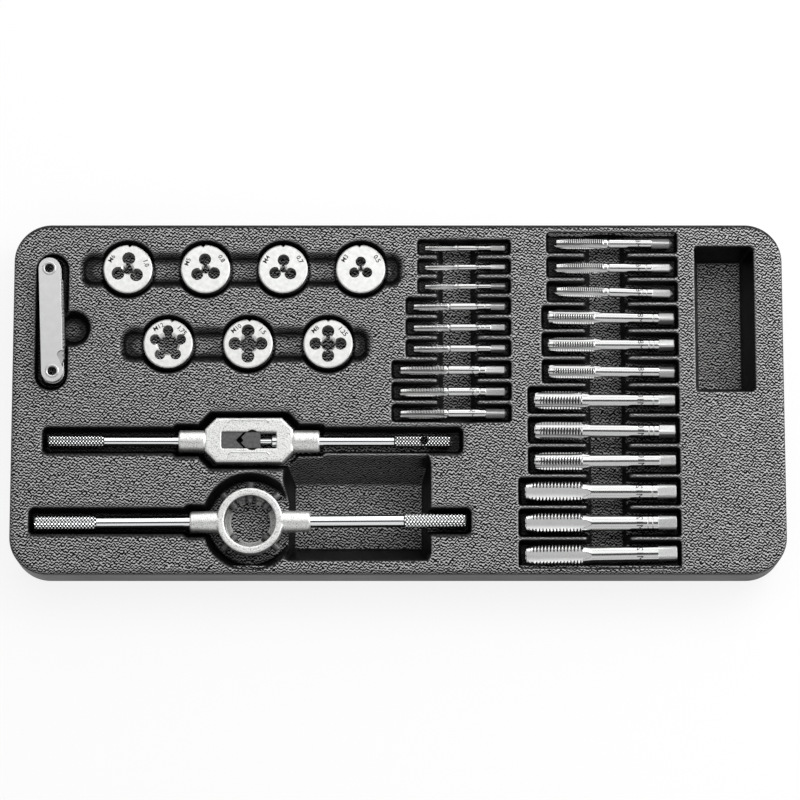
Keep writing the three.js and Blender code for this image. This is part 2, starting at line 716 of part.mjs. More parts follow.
function handTap(set, place) {
  const flutes = set.thread > THREE_FLUTES_UP_TO ? 4 : 3;
  const angles = tapAngles(flutes);
  const sector = (2 * Math.PI) / flutes;
  const threadRadius = set.thread / 2;
  const shankRadius = set.shank / 2;
  const flat = shankRadius * TAP_SQUARE_SHARE;
  const fluted = (scale) => (angle) => {
    const share = (((angle - Math.PI / 2) / sector) % 1 + 1) % 1;
    const inFlute = share < TAP_LAND_SHARE || share > 1 - TAP_LAND_SHARE;
    return scale * threadRadius * (inFlute ? TAP_FLUTE_SHARE : 1);
  };
  const round = (radius) => () => radius;
  const squared = (angle) => {
    const off = ((angle % (Math.PI / 2)) + Math.PI / 2) % (Math.PI / 2);
    const nearest = Math.min(off, Math.PI / 2 - off);
    return Math.min(flat / Math.cos(nearest), shankRadius * TAP_CORNER_SHARE);
  };
  const lead = set.cut * TAP_LEAD_SHARE;
  const squareStart = set.length - set.square - set.point;
  const squareEnd = set.length - set.point;
  const rings = [
    tapRing(set.point, angles, fluted(TAP_TIP_SHARE)),
    tapRing(set.point + lead, angles, fluted(1)),
    tapRing(set.cut, angles, fluted(1)),
    tapRing(set.cut + set.runOut, angles, round(shankRadius)),
    tapRing(squareStart, angles, round(shankRadius)),
    tapRing(squareStart + TAP_SQUARE_STEP, angles, squared),
    tapRing(squareEnd, angles, squared),
  ];
  if (set.point > 0) {
    rings.unshift(tapRing(0, angles, round(threadRadius * TAP_END_SHARE)));
    rings.push(tapRing(set.length, angles, round(threadRadius * TAP_END_SHARE)));
  }
  const skin = loft(rings).rotateX(degrees(set.turns[place]));
  const mesh = named(`tap_${set.size}_${place + 1}`, skin, groundSteel());
  mesh.rotation.z = degrees(set.slants[place]);
  return mesh;
}

function handTaps(block) {
  return tapRows(block).map(({ set, place, y }) => {
    const tap = handTap(set, place);
    const middle = set.length / 2;
    const slant = tap.rotation.z;
    const x = block.right - middle - middle * Math.cos(slant);
    tap.position.set(x, y - middle * Math.sin(slant), TOP - TAP_AXIS_DEPTH);
    return tap;
  });
}

// An upright plate from an outline of [x, y] pairs, standing about z = 0
function plate(outline, thickness) {
  const shape = new THREE.Shape(outline.map(([x, y]) => new THREE.Vector2(x, y)));
  const geometry = new THREE.ExtrudeGeometry(shape, { depth: thickness, bevelEnabled: false });
  return geometry.translate(0, 0, -thickness / 2);
}

function box(length, width, height, x = 0, y = 0, z = 0) {
  return solidOf(new THREE.BoxGeometry(length, width, height).translate(x, y, z));
}

// The cast body: a long octagon with bevelled edges between two round bosses
function wrenchBody() {
  const flat = WRENCH_FLAT_LENGTH / 2;
  const end = WRENCH_BODY_LENGTH / 2;
  const side = WRENCH_BODY_WIDTH / 2;
  const neck = BOSS_DIAMETER / 2 - WRENCH_BEVEL;
  const quarter = [[end, neck], [flat, side]];
  const mirror = (points, signX, signY) => points.map(([x, y]) => [x * signX, y * signY]);
  const outline = [
    ...quarter,
    ...mirror(quarter, -1, 1).reverse(),
    ...mirror(quarter, -1, -1),
    ...mirror(quarter, 1, -1).reverse(),
  ].map(([x, y]) => [x, y - Math.sign(y) * WRENCH_BEVEL]);
  const shape = new THREE.Shape(outline.map(([x, y]) => new THREE.Vector2(x, y)));
  const depth = WRENCH_BODY_THICKNESS - 2 * WRENCH_BEVEL;
  const bevels = { bevelSize: WRENCH_BEVEL, bevelThickness: WRENCH_BEVEL, bevelSegments: 1 };
  const block = new THREE.ExtrudeGeometry(shape, { depth, ...bevels }).translate(0, 0, -depth / 2);
  const bossRadius = BOSS_DIAMETER / 2;
  const profile = [
    [WINDOW_LENGTH / 2 + OVERRUN, bossRadius - WRENCH_BEVEL],
    [end, bossRadius],
    [wrenchBossEnd - ROD_CHAMFER, bossRadius],
    [wrenchBossEnd, bossRadius - ROD_CHAMFER],
  ];
  const boss = turnedBar(profile, 16);
  const cast = joined([solidOf(block), solidOf(boss), solidOf(boss.clone().rotateZ(Math.PI))]);
  return cast.subtract(joined([wrenchWindow(), ...wrenchBores()]));
}

// The window shows the jaws, and a groove along each of its sides guides their tongues
function wrenchWindow() {
  const through = BOSS_DIAMETER + 2 * OVERRUN;
  const bulge = new THREE.CylinderGeometry(1, 1, through, 12)
    .rotateX(Math.PI / 2)
    .scale(WINDOW_BULGE_LENGTH / 2, WINDOW_WIDTH / 2 + WINDOW_BULGE, 1)
    .translate(WINDOW_BULGE_X, 0, 0);
  return joined([
    box(WINDOW_LENGTH, WINDOW_WIDTH, through),
    solidOf(bulge),
    box(WINDOW_LENGTH, WINDOW_WIDTH + 2 * GUIDE_DEPTH, GUIDE_HEIGHT),
  ]);
}

function wrenchBores() {
  const screwRadius = SCREW_DIAMETER / 2 + SEAT_GAP;
  const rodRadius = WRENCH_HANDLE.rodDiameter / 2 + SEAT_GAP;
  const screwStart = WINDOW_LENGTH / 2 - OVERRUN;
  const rodStart = wrenchBossEnd - ROD_SEAT - SEAT_GAP;
  const outside = wrenchBossEnd + OVERRUN;
  return [
    solidOf(turnedBar([[screwStart, screwRadius], [outside, screwRadius]])),
    solidOf(turnedBar([[-outside, rodRadius], [-rodStart, rodRadius]])),
  ];
}

const jawWidth = WINDOW_WIDTH - 2 * SEAT_GAP;
const tongueWidth = WINDOW_WIDTH + 2 * GUIDE_DEPTH - 2 * SEAT_GAP;
const tongueHeight = GUIDE_HEIGHT - 2 * SEAT_GAP;
const fixedJawLeft = SEAT_GAP - WINDOW_LENGTH / 2;
const fixedJawRight = fixedJawLeft + FIXED_JAW_LENGTH;
const movingJawLeft = fixedJawRight - JAW_VEE + JAW_OPENING;
const movingJawRight = movingJawLeft + MOVING_JAW_LENGTH;

// The fixed jaw takes the corner of the tap's square in a notch
function fixedJaw() {
  const half = jawWidth / 2;
  const outline = [
    [fixedJawLeft, -half], [fixedJawRight, -half], [fixedJawRight - JAW_VEE, 0],
    [fixedJawRight, half], [fixedJawLeft, half],
  ];
  const tongueLength = FIXED_JAW_LENGTH - JAW_VEE;
  const tongue = box(tongueLength, tongueWidth, tongueHeight, fixedJawLeft + tongueLength / 2);
  return solidOf(plate(outline, JAW_HEIGHT)).add(tongue);
}

// The moving jaw has a blunt nose with a notch, and a slot open below for the head of the screw
function movingJaw() {
  const half = jawWidth / 2;
  const nose = JAW_NOSE_WIDTH / 2;
  const outline = [
    [movingJawLeft + JAW_VEE, -half], [movingJawRight, -half], [movingJawRight, half],
    [movingJawLeft + JAW_VEE, half], [movingJawLeft, nose], [movingJawLeft + JAW_NOTCH, 0],
    [movingJawLeft, -nose],
  ];
  const tongueLength = MOVING_JAW_LENGTH - JAW_VEE;
  const tongue = box(tongueLength, tongueWidth, tongueHeight, movingJawRight - tongueLength / 2);
  const headRoom = SCREW_HEAD_LENGTH + 2 * SEAT_GAP;
  const lipLength = SCREW_HEAD_LENGTH;
  const slotHeight = JAW_HEIGHT / 2 + SCREW_HEAD_DIAMETER / 2 + SEAT_GAP + OVERRUN;
  const slotZ = SCREW_HEAD_DIAMETER / 2 + SEAT_GAP - slotHeight / 2;
  const headSlot = box(
    headRoom, SCREW_HEAD_DIAMETER + 2 * SEAT_GAP, slotHeight,
    movingJawRight - lipLength - headRoom / 2, 0, slotZ,
  );
  const neckSlot = box(
    lipLength + 2 * OVERRUN, SCREW_NECK_DIAMETER + 2 * SEAT_GAP, slotHeight,
    movingJawRight - lipLength / 2, 0, slotZ,
  );
  return solidOf(plate(outline, JAW_HEIGHT)).add(tongue).subtract(headSlot.add(neckSlot));
}

// The end of a plain rod and its thicker grip, as [x, radius] pairs from the boss out
function gripProfile(start, handle) {
  const rod = handle.rodDiameter / 2;
  const grip = handle.gripDiameter / 2;
  const gripStart = start + handle.rodLength;
  const gripEnd = gripStart + handle.gripLength;
  return [
    [gripStart, rod],
    [gripStart + ROD_CHAMFER, grip],
    [gripEnd - ROD_CHAMFER, grip],
    [gripEnd, grip - ROD_CHAMFER],
  ];
}

// A handle whose rod is pressed into its boss
function seatedHandle(bossEnd, handle) {
  const rod = handle.rodDiameter / 2;
  const seat = bossEnd - ROD_SEAT;
  const seated = [[seat, rod - ROD_CHAMFER], [seat + ROD_CHAMFER, rod]];
  return turnedBar([...seated, ...gripProfile(bossEnd, handle)]);
}

function wrenchFixedHandle() {
  return seatedHandle(wrenchBossEnd, WRENCH_HANDLE).rotateZ(Math.PI);
}

// The clamping handle is a screw: its necked head pulls and pushes the moving jaw
function wrenchScrewHandle() {
  const headStart = movingJawRight - 2 * SCREW_HEAD_LENGTH - SEAT_GAP;
  const headEnd = headStart + SCREW_HEAD_LENGTH;
  const screwStart = headEnd + SCREW_NECK_LENGTH;
  const head = SCREW_HEAD_DIAMETER / 2;
  const neck = SCREW_NECK_DIAMETER / 2;
  const screw = SCREW_DIAMETER / 2;
  const rod = WRENCH_HANDLE.rodDiameter / 2;
  const profile = [
    [headStart, head], [headEnd, head], [headEnd, neck], [screwStart, neck],
    [screwStart, screw - ROD_CHAMFER], [screwStart + ROD_CHAMFER, screw],
    [wrenchBossEnd, screw], [wrenchBossEnd, rod],
    ...gripProfile(wrenchBossEnd, WRENCH_HANDLE),
  ];
  const hole = new THREE.CylinderGeometry(
    WRENCH_GRIP_HOLE / 2, WRENCH_GRIP_HOLE / 2, WRENCH_HANDLE.gripDiameter + 2 * OVERRUN, 12,
  );
  hole.rotateX(Math.PI / 2).translate(wrenchBossEnd + WRENCH_HANDLE.rodLength + WRENCH_GRIP_HOLE_X, 0, 0);
  return solidOf(turnedBar(profile)).subtract(solidOf(hole));
}

function tapWrench() {
  const wrench = new THREE.Group();
  wrench.position.set(WRENCH_X, wrenchY, TOP - TOOL_AXIS_DEPTH);
  wrench.add(
    named("wrench_body", geometryOf(wrenchBody()), castZinc()),
    named("wrench_fixed_jaw", geometryOf(fixedJaw()), darkSteel()),
    named("wrench_moving_jaw", geometryOf(movingJaw()), darkSteel()),
    named("wrench_fixed_handle", wrenchFixedHandle(), chromedSteel()),
    named("wrench_screw_handle", geometryOf(wrenchScrewHandle()), chromedSteel()),
  );
  return wrench;
}

const ringBore = DIE_DIAMETER / 2 + RING_SIDE_CLEARANCE;

// The cast ring takes a die on its ledge, and five screws through its wall hold the die
function stockRing() {
  const half = RING_HEIGHT / 2;
  const outer = RING_DIAMETER / 2;
  const ledgeTop = LEDGE_THICKNESS - half;
  const profile = [
    [LEDGE_DIAMETER / 2, -half], [outer - RING_CHAMFER, -half], [outer, RING_CHAMFER - half],
    [outer, half - RING_CHAMFER], [outer - RING_CHAMFER, half], [ringBore, half],
    [ringBore, ledgeTop], [LEDGE_DIAMETER / 2, ledgeTop], [LEDGE_DIAMETER / 2, -half],
  ].map(([radius, z]) => new THREE.Vector2(radius, z));
  const ring = solidOf(new THREE.LatheGeometry(profile, 20).rotateX(Math.PI / 2));
  const bossRadius = BOSS_DIAMETER / 2;
  const bossProfile = [
    [(outer + ringBore) / 2, bossRadius - ROD_CHAMFER],
    [stockBossEnd - ROD_CHAMFER, bossRadius - STOCK_BOSS_TAPER],
    [stockBossEnd, bossRadius - ROD_CHAMFER],
  ];
  const boss = turnedBar(bossProfile, 16);
  const rodRadius = STOCK_HANDLE.rodDiameter / 2 + SEAT_GAP;
  const rodStart = stockBossEnd - ROD_SEAT - SEAT_GAP;
  const bore = turnedBar([[rodStart, rodRadius], [stockBossEnd + OVERRUN, rodRadius]]);
  const screwHole = SET_SCREW_DIAMETER / 2 + SEAT_GAP;
  const screwHoles = SET_SCREW_ANGLES.map((angle) => {
    const hole = turnedBar([[LEDGE_DIAMETER / 2 - OVERRUN, screwHole], [outer + OVERRUN, screwHole]], 8);
    return solidOf(hole.rotateZ(degrees(angle)));
  });
  const ledgeGaps = SET_SCREW_ANGLES.map((angle) => {
    const reach = ringBore - LEDGE_DIAMETER / 2 + OVERRUN;
    const gap = new THREE.BoxGeometry(reach, 2 * screwHole, LEDGE_THICKNESS + OVERRUN);
    gap.translate(ringBore - reach / 2, 0, -half + LEDGE_THICKNESS / 2 - OVERRUN / 2);
    return solidOf(gap.rotateZ(degrees(angle)));
  });
  const cast = joined([ring, solidOf(boss), solidOf(boss.clone().rotateZ(Math.PI))]);
  const bores = [bore, bore.clone().rotateZ(Math.PI)].map(solidOf);
  return cast.subtract(joined([...bores, ...screwHoles, ...ledgeGaps]));
}

// A headless screw with a cone point towards the die and a driver slot outside
function setScrew() {
  const radius = SET_SCREW_DIAMETER / 2;
  const outer = SET_SCREW_INNER + SET_SCREW_LENGTH;
  const screw = turnedBar(
    [
      [SET_SCREW_INNER, radius * SET_SCREW_TIP_SHARE],
      [SET_SCREW_INNER + SET_SCREW_POINT, radius],
      [outer - SET_SCREW_SLOT / 2, radius],
      [outer, radius - SET_SCREW_SLOT / 2],
    ],
    8,
  );
  const slot = box(2 * SET_SCREW_SLOT, 2 * SET_SCREW_DIAMETER, SET_SCREW_SLOT, outer);
  return solidOf(screw).subtract(slot);
}

function dieStock() {
  const stock = new THREE.Group();
  stock.position.set(STOCK_X, stockY, TOP - TOOL_AXIS_DEPTH);
  stock.rotation.z = degrees(STOCK_SLANT);
  stock.add(
    named("stock_ring", geometryOf(stockRing()), castZinc()),
    named("stock_left_handle", seatedHandle(stockBossEnd, STOCK_HANDLE).rotateZ(Math.PI), chromedSteel()),
    named("stock_right_handle", seatedHandle(stockBossEnd, STOCK_HANDLE), chromedSteel()),
  );
  SET_SCREW_ANGLES.forEach((angle, index) => {
    const screw = named(`stock_set_screw_${index + 1}`, geometryOf(setScrew()), darkSteel());
    screw.rotation.z = degrees(angle);
    stock.add(screw);
  });
  return stock;
}

// A flat strip along +Y from an eye of the given radius at the origin to a rounded tip
function stripOutline(eyeRadius, tipHalf, tipY, steps) {
  const outline = [];
  for (let step = 0; step <= steps; step += 1) {
    const angle = degrees(180 + (180 * step) / steps);
    outline.push([eyeRadius * Math.cos(angle), eyeRadius * Math.sin(angle)]);
  }
  for (let step = 0; step <= steps; step += 1) {
    const angle = degrees((180 * step) / steps);
    outline.push([tipHalf * Math.cos(angle), tipY + tipHalf * Math.sin(angle)]);
  }
  return outline;
}

function piercedStrip(outline, holes, holeRadius, thickness, z) {
  const strip = solidOf(plate(outline, thickness).translate(0, 0, z));
  const through = thickness + 2 * OVERRUN;
  const cuts = holes.map((y) => {
    const hole = new THREE.CylinderGeometry(holeRadius, holeRadius, through, 10).rotateX(Math.PI / 2);
    return solidOf(hole.translate(0, y, z));
  });
  return strip.subtract(joined(cuts));
}

function gaugeCover(z) {
  const half = COVER_WIDTH / 2;
  const outline = stripOutline(half, half, RIVET_SPACING, 7);
  return piercedStrip(outline, [0, RIVET_SPACING], RIVET_SHANK / 2 + SEAT_GAP, COVER_THICKNESS, z);
}

// The front cover's edge is cut back for a fingernail: round at one end and slanting out at the other
function nailNotch(z) {
  const edge = -COVER_WIDTH / 2;
  const deepest = edge + NAIL_NOTCH_DEPTH;
  const end = NAIL_NOTCH_START + NAIL_NOTCH_LENGTH;
  const depth = COVER_THICKNESS + 2 * OVERRUN;
  const shape = new THREE.Shape();
  shape.moveTo(edge - OVERRUN, NAIL_NOTCH_START);
  shape.lineTo(edge, NAIL_NOTCH_START);
  shape.quadraticCurveTo(deepest, NAIL_NOTCH_START, deepest, NAIL_NOTCH_START + NAIL_NOTCH_ROUND);
  shape.lineTo(edge, end);
  shape.lineTo(edge - OVERRUN, end);
  const notch = new THREE.ExtrudeGeometry(shape, { depth, bevelEnabled: false, curveSegments: 4 });
  return solidOf(notch.translate(0, 0, z - depth / 2));
}

// Leaves turn on the two rivets by turns, and each ends short of the other rivet
function gaugeLeaf(z) {
  const half = LEAF_WIDTH / 2;
  const tip = LEAF_TIP_WIDTH / 2;
  const tipY = RIVET_SPACING - RIVET_SHANK / 2 - 2 * SEAT_GAP - tip;
  const outline = stripOutline(half, tip, tipY, 4);
  return piercedStrip(outline, [0], RIVET_SHANK / 2 + SEAT_GAP, LEAF_THICKNESS, z);
}

function hollowRivet(low, high) {
  const bore = RIVET_HOLE / 2;
  const shank = RIVET_SHANK / 2;
  const flange = RIVET_FLANGE / 2;
  const lip = RIVET_FLANGE_THICKNESS;
  const profile = [
    [bore, low], [flange, low], [flange, low + lip], [shank, low + lip],
    [shank, high - lip], [flange, high - lip], [flange, high], [bore, high], [bore, low],
  ].map(([radius, z]) => new THREE.Vector2(radius, z));
  return new THREE.LatheGeometry(profile, 12).rotateX(Math.PI / 2);
}

function threadGauge() {
  const gauge = new THREE.Group();
  const slant = degrees(GAUGE_SLANT);
  const half = RIVET_SPACING / 2;
  gauge.position.set(gaugeX - half * Math.sin(slant), gaugeY + half * Math.cos(slant), TOP);
  gauge.rotation.z = slant + Math.PI;
  const backCoverZ = LEAF_RISE - LEAF_GAP - COVER_THICKNESS / 2;
  const frontCoverZ = LEAF_RISE + leafStack + COVER_THICKNESS / 2;
  const rivetLow = backCoverZ - COVER_THICKNESS / 2 - LEAF_GAP - RIVET_FLANGE_THICKNESS;
  const rivetHigh = frontCoverZ + COVER_THICKNESS / 2 + LEAF_GAP + RIVET_FLANGE_THICKNESS;
  const upperRivet = hollowRivet(rivetLow, rivetHigh);
  const lowerRivet = upperRivet.clone().translate(0, RIVET_SPACING, 0);
  const frontCover = gaugeCover(frontCoverZ).subtract(nailNotch(frontCoverZ));
  gauge.add(
    named("gauge_back_cover", geometryOf(gaugeCover(backCoverZ)), rolledSheetSteel()),
    named("gauge_front_cover", geometryOf(frontCover), rolledSheetSteel()),
    named("gauge_upper_rivet", upperRivet, rolledSheetSteel()),
    named("gauge_lower_rivet", lowerRivet, rolledSheetSteel()),
  );
  for (let index = 0; index < LEAF_COUNT; index += 1) {
    const z = LEAF_RISE + LEAF_THICKNESS / 2 + index * (LEAF_THICKNESS + LEAF_GAP);
    const leaf = named(`gauge_leaf_${index + 1}`, geometryOf(gaugeLeaf(z)), rolledSheetSteel());
    if (index % 2 === 1) {
      leaf.position.y = RIVET_SPACING;
      leaf.rotation.z = Math.PI;
    }
    gauge.add(leaf);
  }
  return gauge;
}

const drawerTray = new THREE.Group();
drawerTray.add(
  tray(),
  ...DIE_ROWS.flatMap(placedDies).map(roundDie),
  ...handTaps(SHORT_BLOCK),
  ...handTaps(LONG_BLOCK),
  tapWrench(),
  dieStock(),
  threadGauge(),
);

export default drawerTray;
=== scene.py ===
import math

import bmesh
import bpy
import numpy as np
from mathutils.geometry import tessellate_polygon
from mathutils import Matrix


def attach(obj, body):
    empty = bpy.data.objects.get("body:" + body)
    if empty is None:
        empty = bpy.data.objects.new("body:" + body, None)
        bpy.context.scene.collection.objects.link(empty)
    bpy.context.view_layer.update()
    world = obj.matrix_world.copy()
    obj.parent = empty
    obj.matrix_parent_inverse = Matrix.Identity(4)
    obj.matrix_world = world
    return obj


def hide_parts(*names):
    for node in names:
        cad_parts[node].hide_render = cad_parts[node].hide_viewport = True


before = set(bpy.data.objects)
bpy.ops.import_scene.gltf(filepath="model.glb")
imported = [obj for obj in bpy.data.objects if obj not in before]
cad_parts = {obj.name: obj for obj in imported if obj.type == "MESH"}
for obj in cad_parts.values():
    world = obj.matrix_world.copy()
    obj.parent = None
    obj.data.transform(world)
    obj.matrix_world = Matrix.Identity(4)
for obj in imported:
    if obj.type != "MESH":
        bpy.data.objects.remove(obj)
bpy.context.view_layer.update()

# Formed tray
# One sheet of black ABS about 2 mm thick, heated and drawn by vacuum over a mould, so every edge
# is rounded and the face keeps the mould's leather grain. It lies loose in the drawer.
MM = 0.001
TOP = 27.0
HALF_LENGTH = 200.0
HALF_WIDTH = 92.0
CORNER = 20.0
EDGE_RADIUS = 3.0
SKIRT_DRAFT = 0.6
SHEET = 2.0
# spacing of the sheet's points above and below, and the rounding that it takes over an edge
GRID = 0.5
UNDER_GRID = 2.0
DRAPE = 0.46
# how far around a slot the painted shade reaches, and how wide a rim gets a painted highlight
SLOT_REACH = 4.0
RIM_REACH = 0.8
# first die, spacing, row and sizes
DIE_ROWS = (
    (-140.3, 40.3, 67.8, ("m6", "m5", "m4", "m3")),
    (-119.0, 41.4, 28.4, ("m12", "m10", "m8")),
)
POCKET_RADIUS = 15.2
POCKET_DEPTH = 9.5
BAND_HALF = 9.2
BAND_DEPTH = 6.5
# a tap's axis lies this far under the top, with 0.3 mm of air under the tap; ribs part the rows
TAP_AXIS_DEPTH = 3.5
TAP_AIR = 0.3
RIB = 2.4
TROUGH_DEPTH = 14.0
# handle slots and boss wells, first the wrench's and then the stock's: left, right, front, back,
# depth and how far the wall runs in
TOOL_WELLS = (
    (-183.2, 33.4, -28.7, -15.1, 9.6, 1.2),
    (-116.5, -37.1, -30.6, -13.2, 12, 2.2),
    (-189.6, 37.6, -70.6, -57, 10.2, 1.2),
    (-110.4, -41.6, -72.5, -55.1, 12, 2.2),
)
# the store and the pocket for a box: left, right, front and back edge, how far each of these four
# walls runs in, and how much their corners are hipped
BIN_DEPTH = 25.0
BINS = (
    (-59.4, 17, -84.3, -27.2, (6.2, 4.6, 8.4, 15), 0.45),
    (153.9, 184.7, 3.7, 79.9, (3.1, 5.1, 4.1, 4.1), 0.35),
)
# size: thread, shank, length, spacing of the rows, cut length, run-out, square, point, thread pitch
TAP_SIZES = {
    "m3": (3, 3.2, 42.9, 10.2, 16.4, 1.6, 7.3, 0.9, 0.5),
    "m4": (4, 4, 49, 11.1, 18, 1.8, 7.3, 1.1, 0.7),
    "m5": (5, 5, 56.2, 11.4, 24, 2, 9.8, 1.4, 0.8),
    "m6": (6, 5.2, 62.4, 12.9, 26, 3.4, 9.2, 2, 1.0),
    "m8": (8, 6, 65.2, 14.2, 23.5, 4, 8, 0, 1.25),
    "m10": (10, 7, 72.6, 15.8, 24, 4.6, 8.5, 0, 1.5),
    "m12": (12, 8.5, 77.6, 16.2, 28.6, 5.4, 9.7, 0, 1.75),
}
# right end of the shanks, first row, trough from and to, sizes
TAP_BLOCKS = (
    (56.2, 79.5, 19.8, 41.4, ("m3", "m4", "m5")),
    (142.8, 81.8, 96.3, 119.5, ("m6", "m8", "m10", "m12")),
)


def tap_rows(block):
    """(size, place, y) for each tap of a block, from the back of the tray to the front."""
    rows, y, before = [], block[1], None
    for size in block[4]:
        for place in range(3):
            spacing = TAP_SIZES[size][3]
            if before is not None:
                y -= (before + spacing) / 2
            rows.append((size, place, y))
            before = spacing
    return rows


def rounded_box(x, y, left, right, front, back, radius):
    """Distance in millimetres to a rounded rectangle, negative inside it."""
    qx = np.abs(x - (left + right) / 2) - (right - left) / 2 + radius
    qy = np.abs(y - (front + back) / 2) - (back - front) / 2 + radius
    outside = np.hypot(np.maximum(qx, 0), np.maximum(qy, 0))
    return outside + np.minimum(np.maximum(qx, qy), 0) - radius


def octagon(x, y, half_x, half_y, cut):
    """Distance to a box about the origin whose corners are cut at 45 degrees."""
    qx, qy = np.abs(x) - half_x, np.abs(y) - half_y
    return np.maximum(np.maximum(qx, qy), (qx + qy + cut) * math.sqrt(0.5))


def formed_height(x, y):
    """Height of the tray's upper face over the plan, before the sheet's own rounding."""
    height = np.full(x.shape, TOP)

    def sink(distance, depth, run, shoulder=0.0):
        np.minimum(height, TOP - depth * np.clip(-distance / run, 0, 1), out=height)
        if shoulder:
            slope = np.clip((shoulder - distance) / shoulder, 0, 1)
            np.minimum(height, TOP - 0.5 * shoulder * slope, out=height)

    for left, spacing, row_y, sizes in DIE_ROWS:
        last = left + spacing * (len(sizes) - 1)
        band = rounded_box(x, y, left - 25.2, last + 22.2, row_y - BAND_HALF, row_y + BAND_HALF, 7.4)
        sink(band, BAND_DEPTH, 3.4, 1.2)
        for place in range(len(sizes)):
            pocket = np.hypot(x - left - spacing * place, y - row_y) - POCKET_RADIUS
            sink(pocket, POCKET_DEPTH, 1.7, 1.0)
    for block in TAP_BLOCKS:
        right, _, trough_left, trough_right, _ = block
        rows = tap_rows(block)
        for size, _, row_y in rows:
            thread, shank, length, spacing = TAP_SIZES[size][:4]
            side = (spacing - RIB) / 2
            walls = (row_y - side, row_y + side, 1.6)
            for start, end, thickness in (
                (right - length - 3.2, trough_left + 7, thread), (trough_right - 7, right + 2.1, shank),
            ):
                depth = TAP_AXIS_DEPTH + TAP_AIR + thickness / 2
                sink(rounded_box(x, y, start, end, *walls), depth, 0.5)
        back = rows[0][2] + (TAP_SIZES[rows[0][0]][3] - RIB) / 2 + 0.4
        front = rows[-1][2] - (TAP_SIZES[rows[-1][0]][3] - RIB) / 2 - 0.4
        sink(rounded_box(x, y, trough_left, trough_right, front, back, 2.5), TROUGH_DEPTH, 3.6, 1.2)
    # thread gauge's slot, its raised land and the finger notch beside it
    slot = TOP - 5 * np.clip(-rounded_box(x, y, -187.65, -170.75, 4.35, 75.65, 8.2) / 0.8, 0, 1)
    land = TOP - 1.4 - 8 * np.clip(rounded_box(x, y, -183.2, -175.2, 8, 72, 2), 0, 1)
    np.minimum(height, np.maximum(slot, land), out=height)
    sink(np.hypot(x + 168.3, y - 36.8) - 9.5, 9, 3, 1.2)
    # the long tools: slots and wells, the wrench body's octagon and the ring's round well
    for *edges, depth, run in TOOL_WELLS:
        sink(rounded_box(x, y, *edges, 3), depth, run, 2.2)
    sink(octagon(x + 76.8, y + 21.9, 26.1, 15, 6), 12, 2.2, 2.2)
    sink(np.hypot(x + 76, y + 63.8) - 25.3, 12, 3.4, 1.6)
    for left, right, front, back, runs, hip in BINS:
        inward = [x - left, right - x, y - front, back - y]
        slopes = [distance / run for distance, run in zip(inward, runs)]
        corner = np.minimum(*slopes[:2]) + np.minimum(*slopes[2:]) - hip
        share = np.minimum(np.minimum.reduce(slopes), corner)
        sink(-share, BIN_DEPTH, 1)
    return height


def blurred(values, sigma):
    """Gaussian mean over a grid, with sigma in cells."""
    reach = int(3 * sigma) + 1
    weights = [math.exp(-((step / sigma) ** 2) / 2) for step in range(-reach, reach + 1)]
    for axis in (0, 1):
        total = np.zeros_like(values)
        for step, weight in zip(range(-reach, reach + 1), weights):
            rows = np.clip(np.arange(values.shape[axis]) + step, 0, values.shape[axis] - 1)
            total += weight / sum(weights) * np.take(values, rows, axis)
        values = total
    return values


def lowest_near(values, reach):
    """The least height within reach cells, which keeps the sheet's thickness on steep walls."""
    least = values.copy()
    for step_x in range(-reach, reach + 1):
        for step_y in range(-reach, reach + 1):
            if step_x**2 + step_y**2 <= reach**2:
                rows = np.clip(np.arange(values.shape[0]) + step_x, 0, values.shape[0] - 1)
                columns = np.clip(np.arange(values.shape[1]) + step_y, 0, values.shape[1] - 1)
                np.minimum(least, values[np.ix_(rows, columns)], out=least)
    return least


def outline_point(points, inset):
    """The nearest points of the tray's outline moved in by inset, for points beside it."""
    core = np.array([HALF_LENGTH - CORNER, HALF_WIDTH - CORNER])
    centres = np.clip(points, -core, core)
    normals = points - centres
    normals /= np.linalg.norm(normals, axis=1, keepdims=True)
    return centres + (CORNER - inset) * normals


def grid_in_outline(step, inset):
    """Plan points, quads and the ordered rim of a square grid that fills the outline."""
    half_x, half_y = HALF_LENGTH - inset, HALF_WIDTH - inset
    x, y = np.meshgrid(
        np.linspace(-half_x, half_x, round(2 * half_x / step) + 1),
        np.linspace(-half_y, half_y, round(2 * half_y / step) + 1),
        indexing="ij",
    )
    inside = rounded_box(x, y, -half_x, half_x, -half_y, half_y, CORNER - inset) < 0.3 * step
    cell = inside[:-1, :-1] & inside[1:, :-1] & inside[1:, 1:] & inside[:-1, 1:]
    number = np.arange(x.size).reshape(x.shape)
    corners = (number[:-1, :-1], number[1:, :-1], number[1:, 1:], number[:-1, 1:])
    quads = np.stack([corner[cell] for corner in corners], axis=1)
    used, quads = np.unique(quads, return_inverse=True)
    quads = quads.reshape(-1, 4)
    points = np.stack([x.ravel()[used], y.ravel()[used]], axis=1)
    starts, ends = quads.ravel(), np.roll(quads, -1, axis=1).ravel()
    rim = ~np.isin(starts * len(points) + ends, ends * len(points) + starts)
    following = dict(zip(starts[rim].tolist(), ends[rim].tolist()))
    loop = [int(starts[rim][0])]
    while following[loop[-1]] != loop[0]:
        loop.append(following[loop[-1]])
    points[loop] = outline_point(points[loop], inset)
    return points, quads, np.array(loop), (x, y)


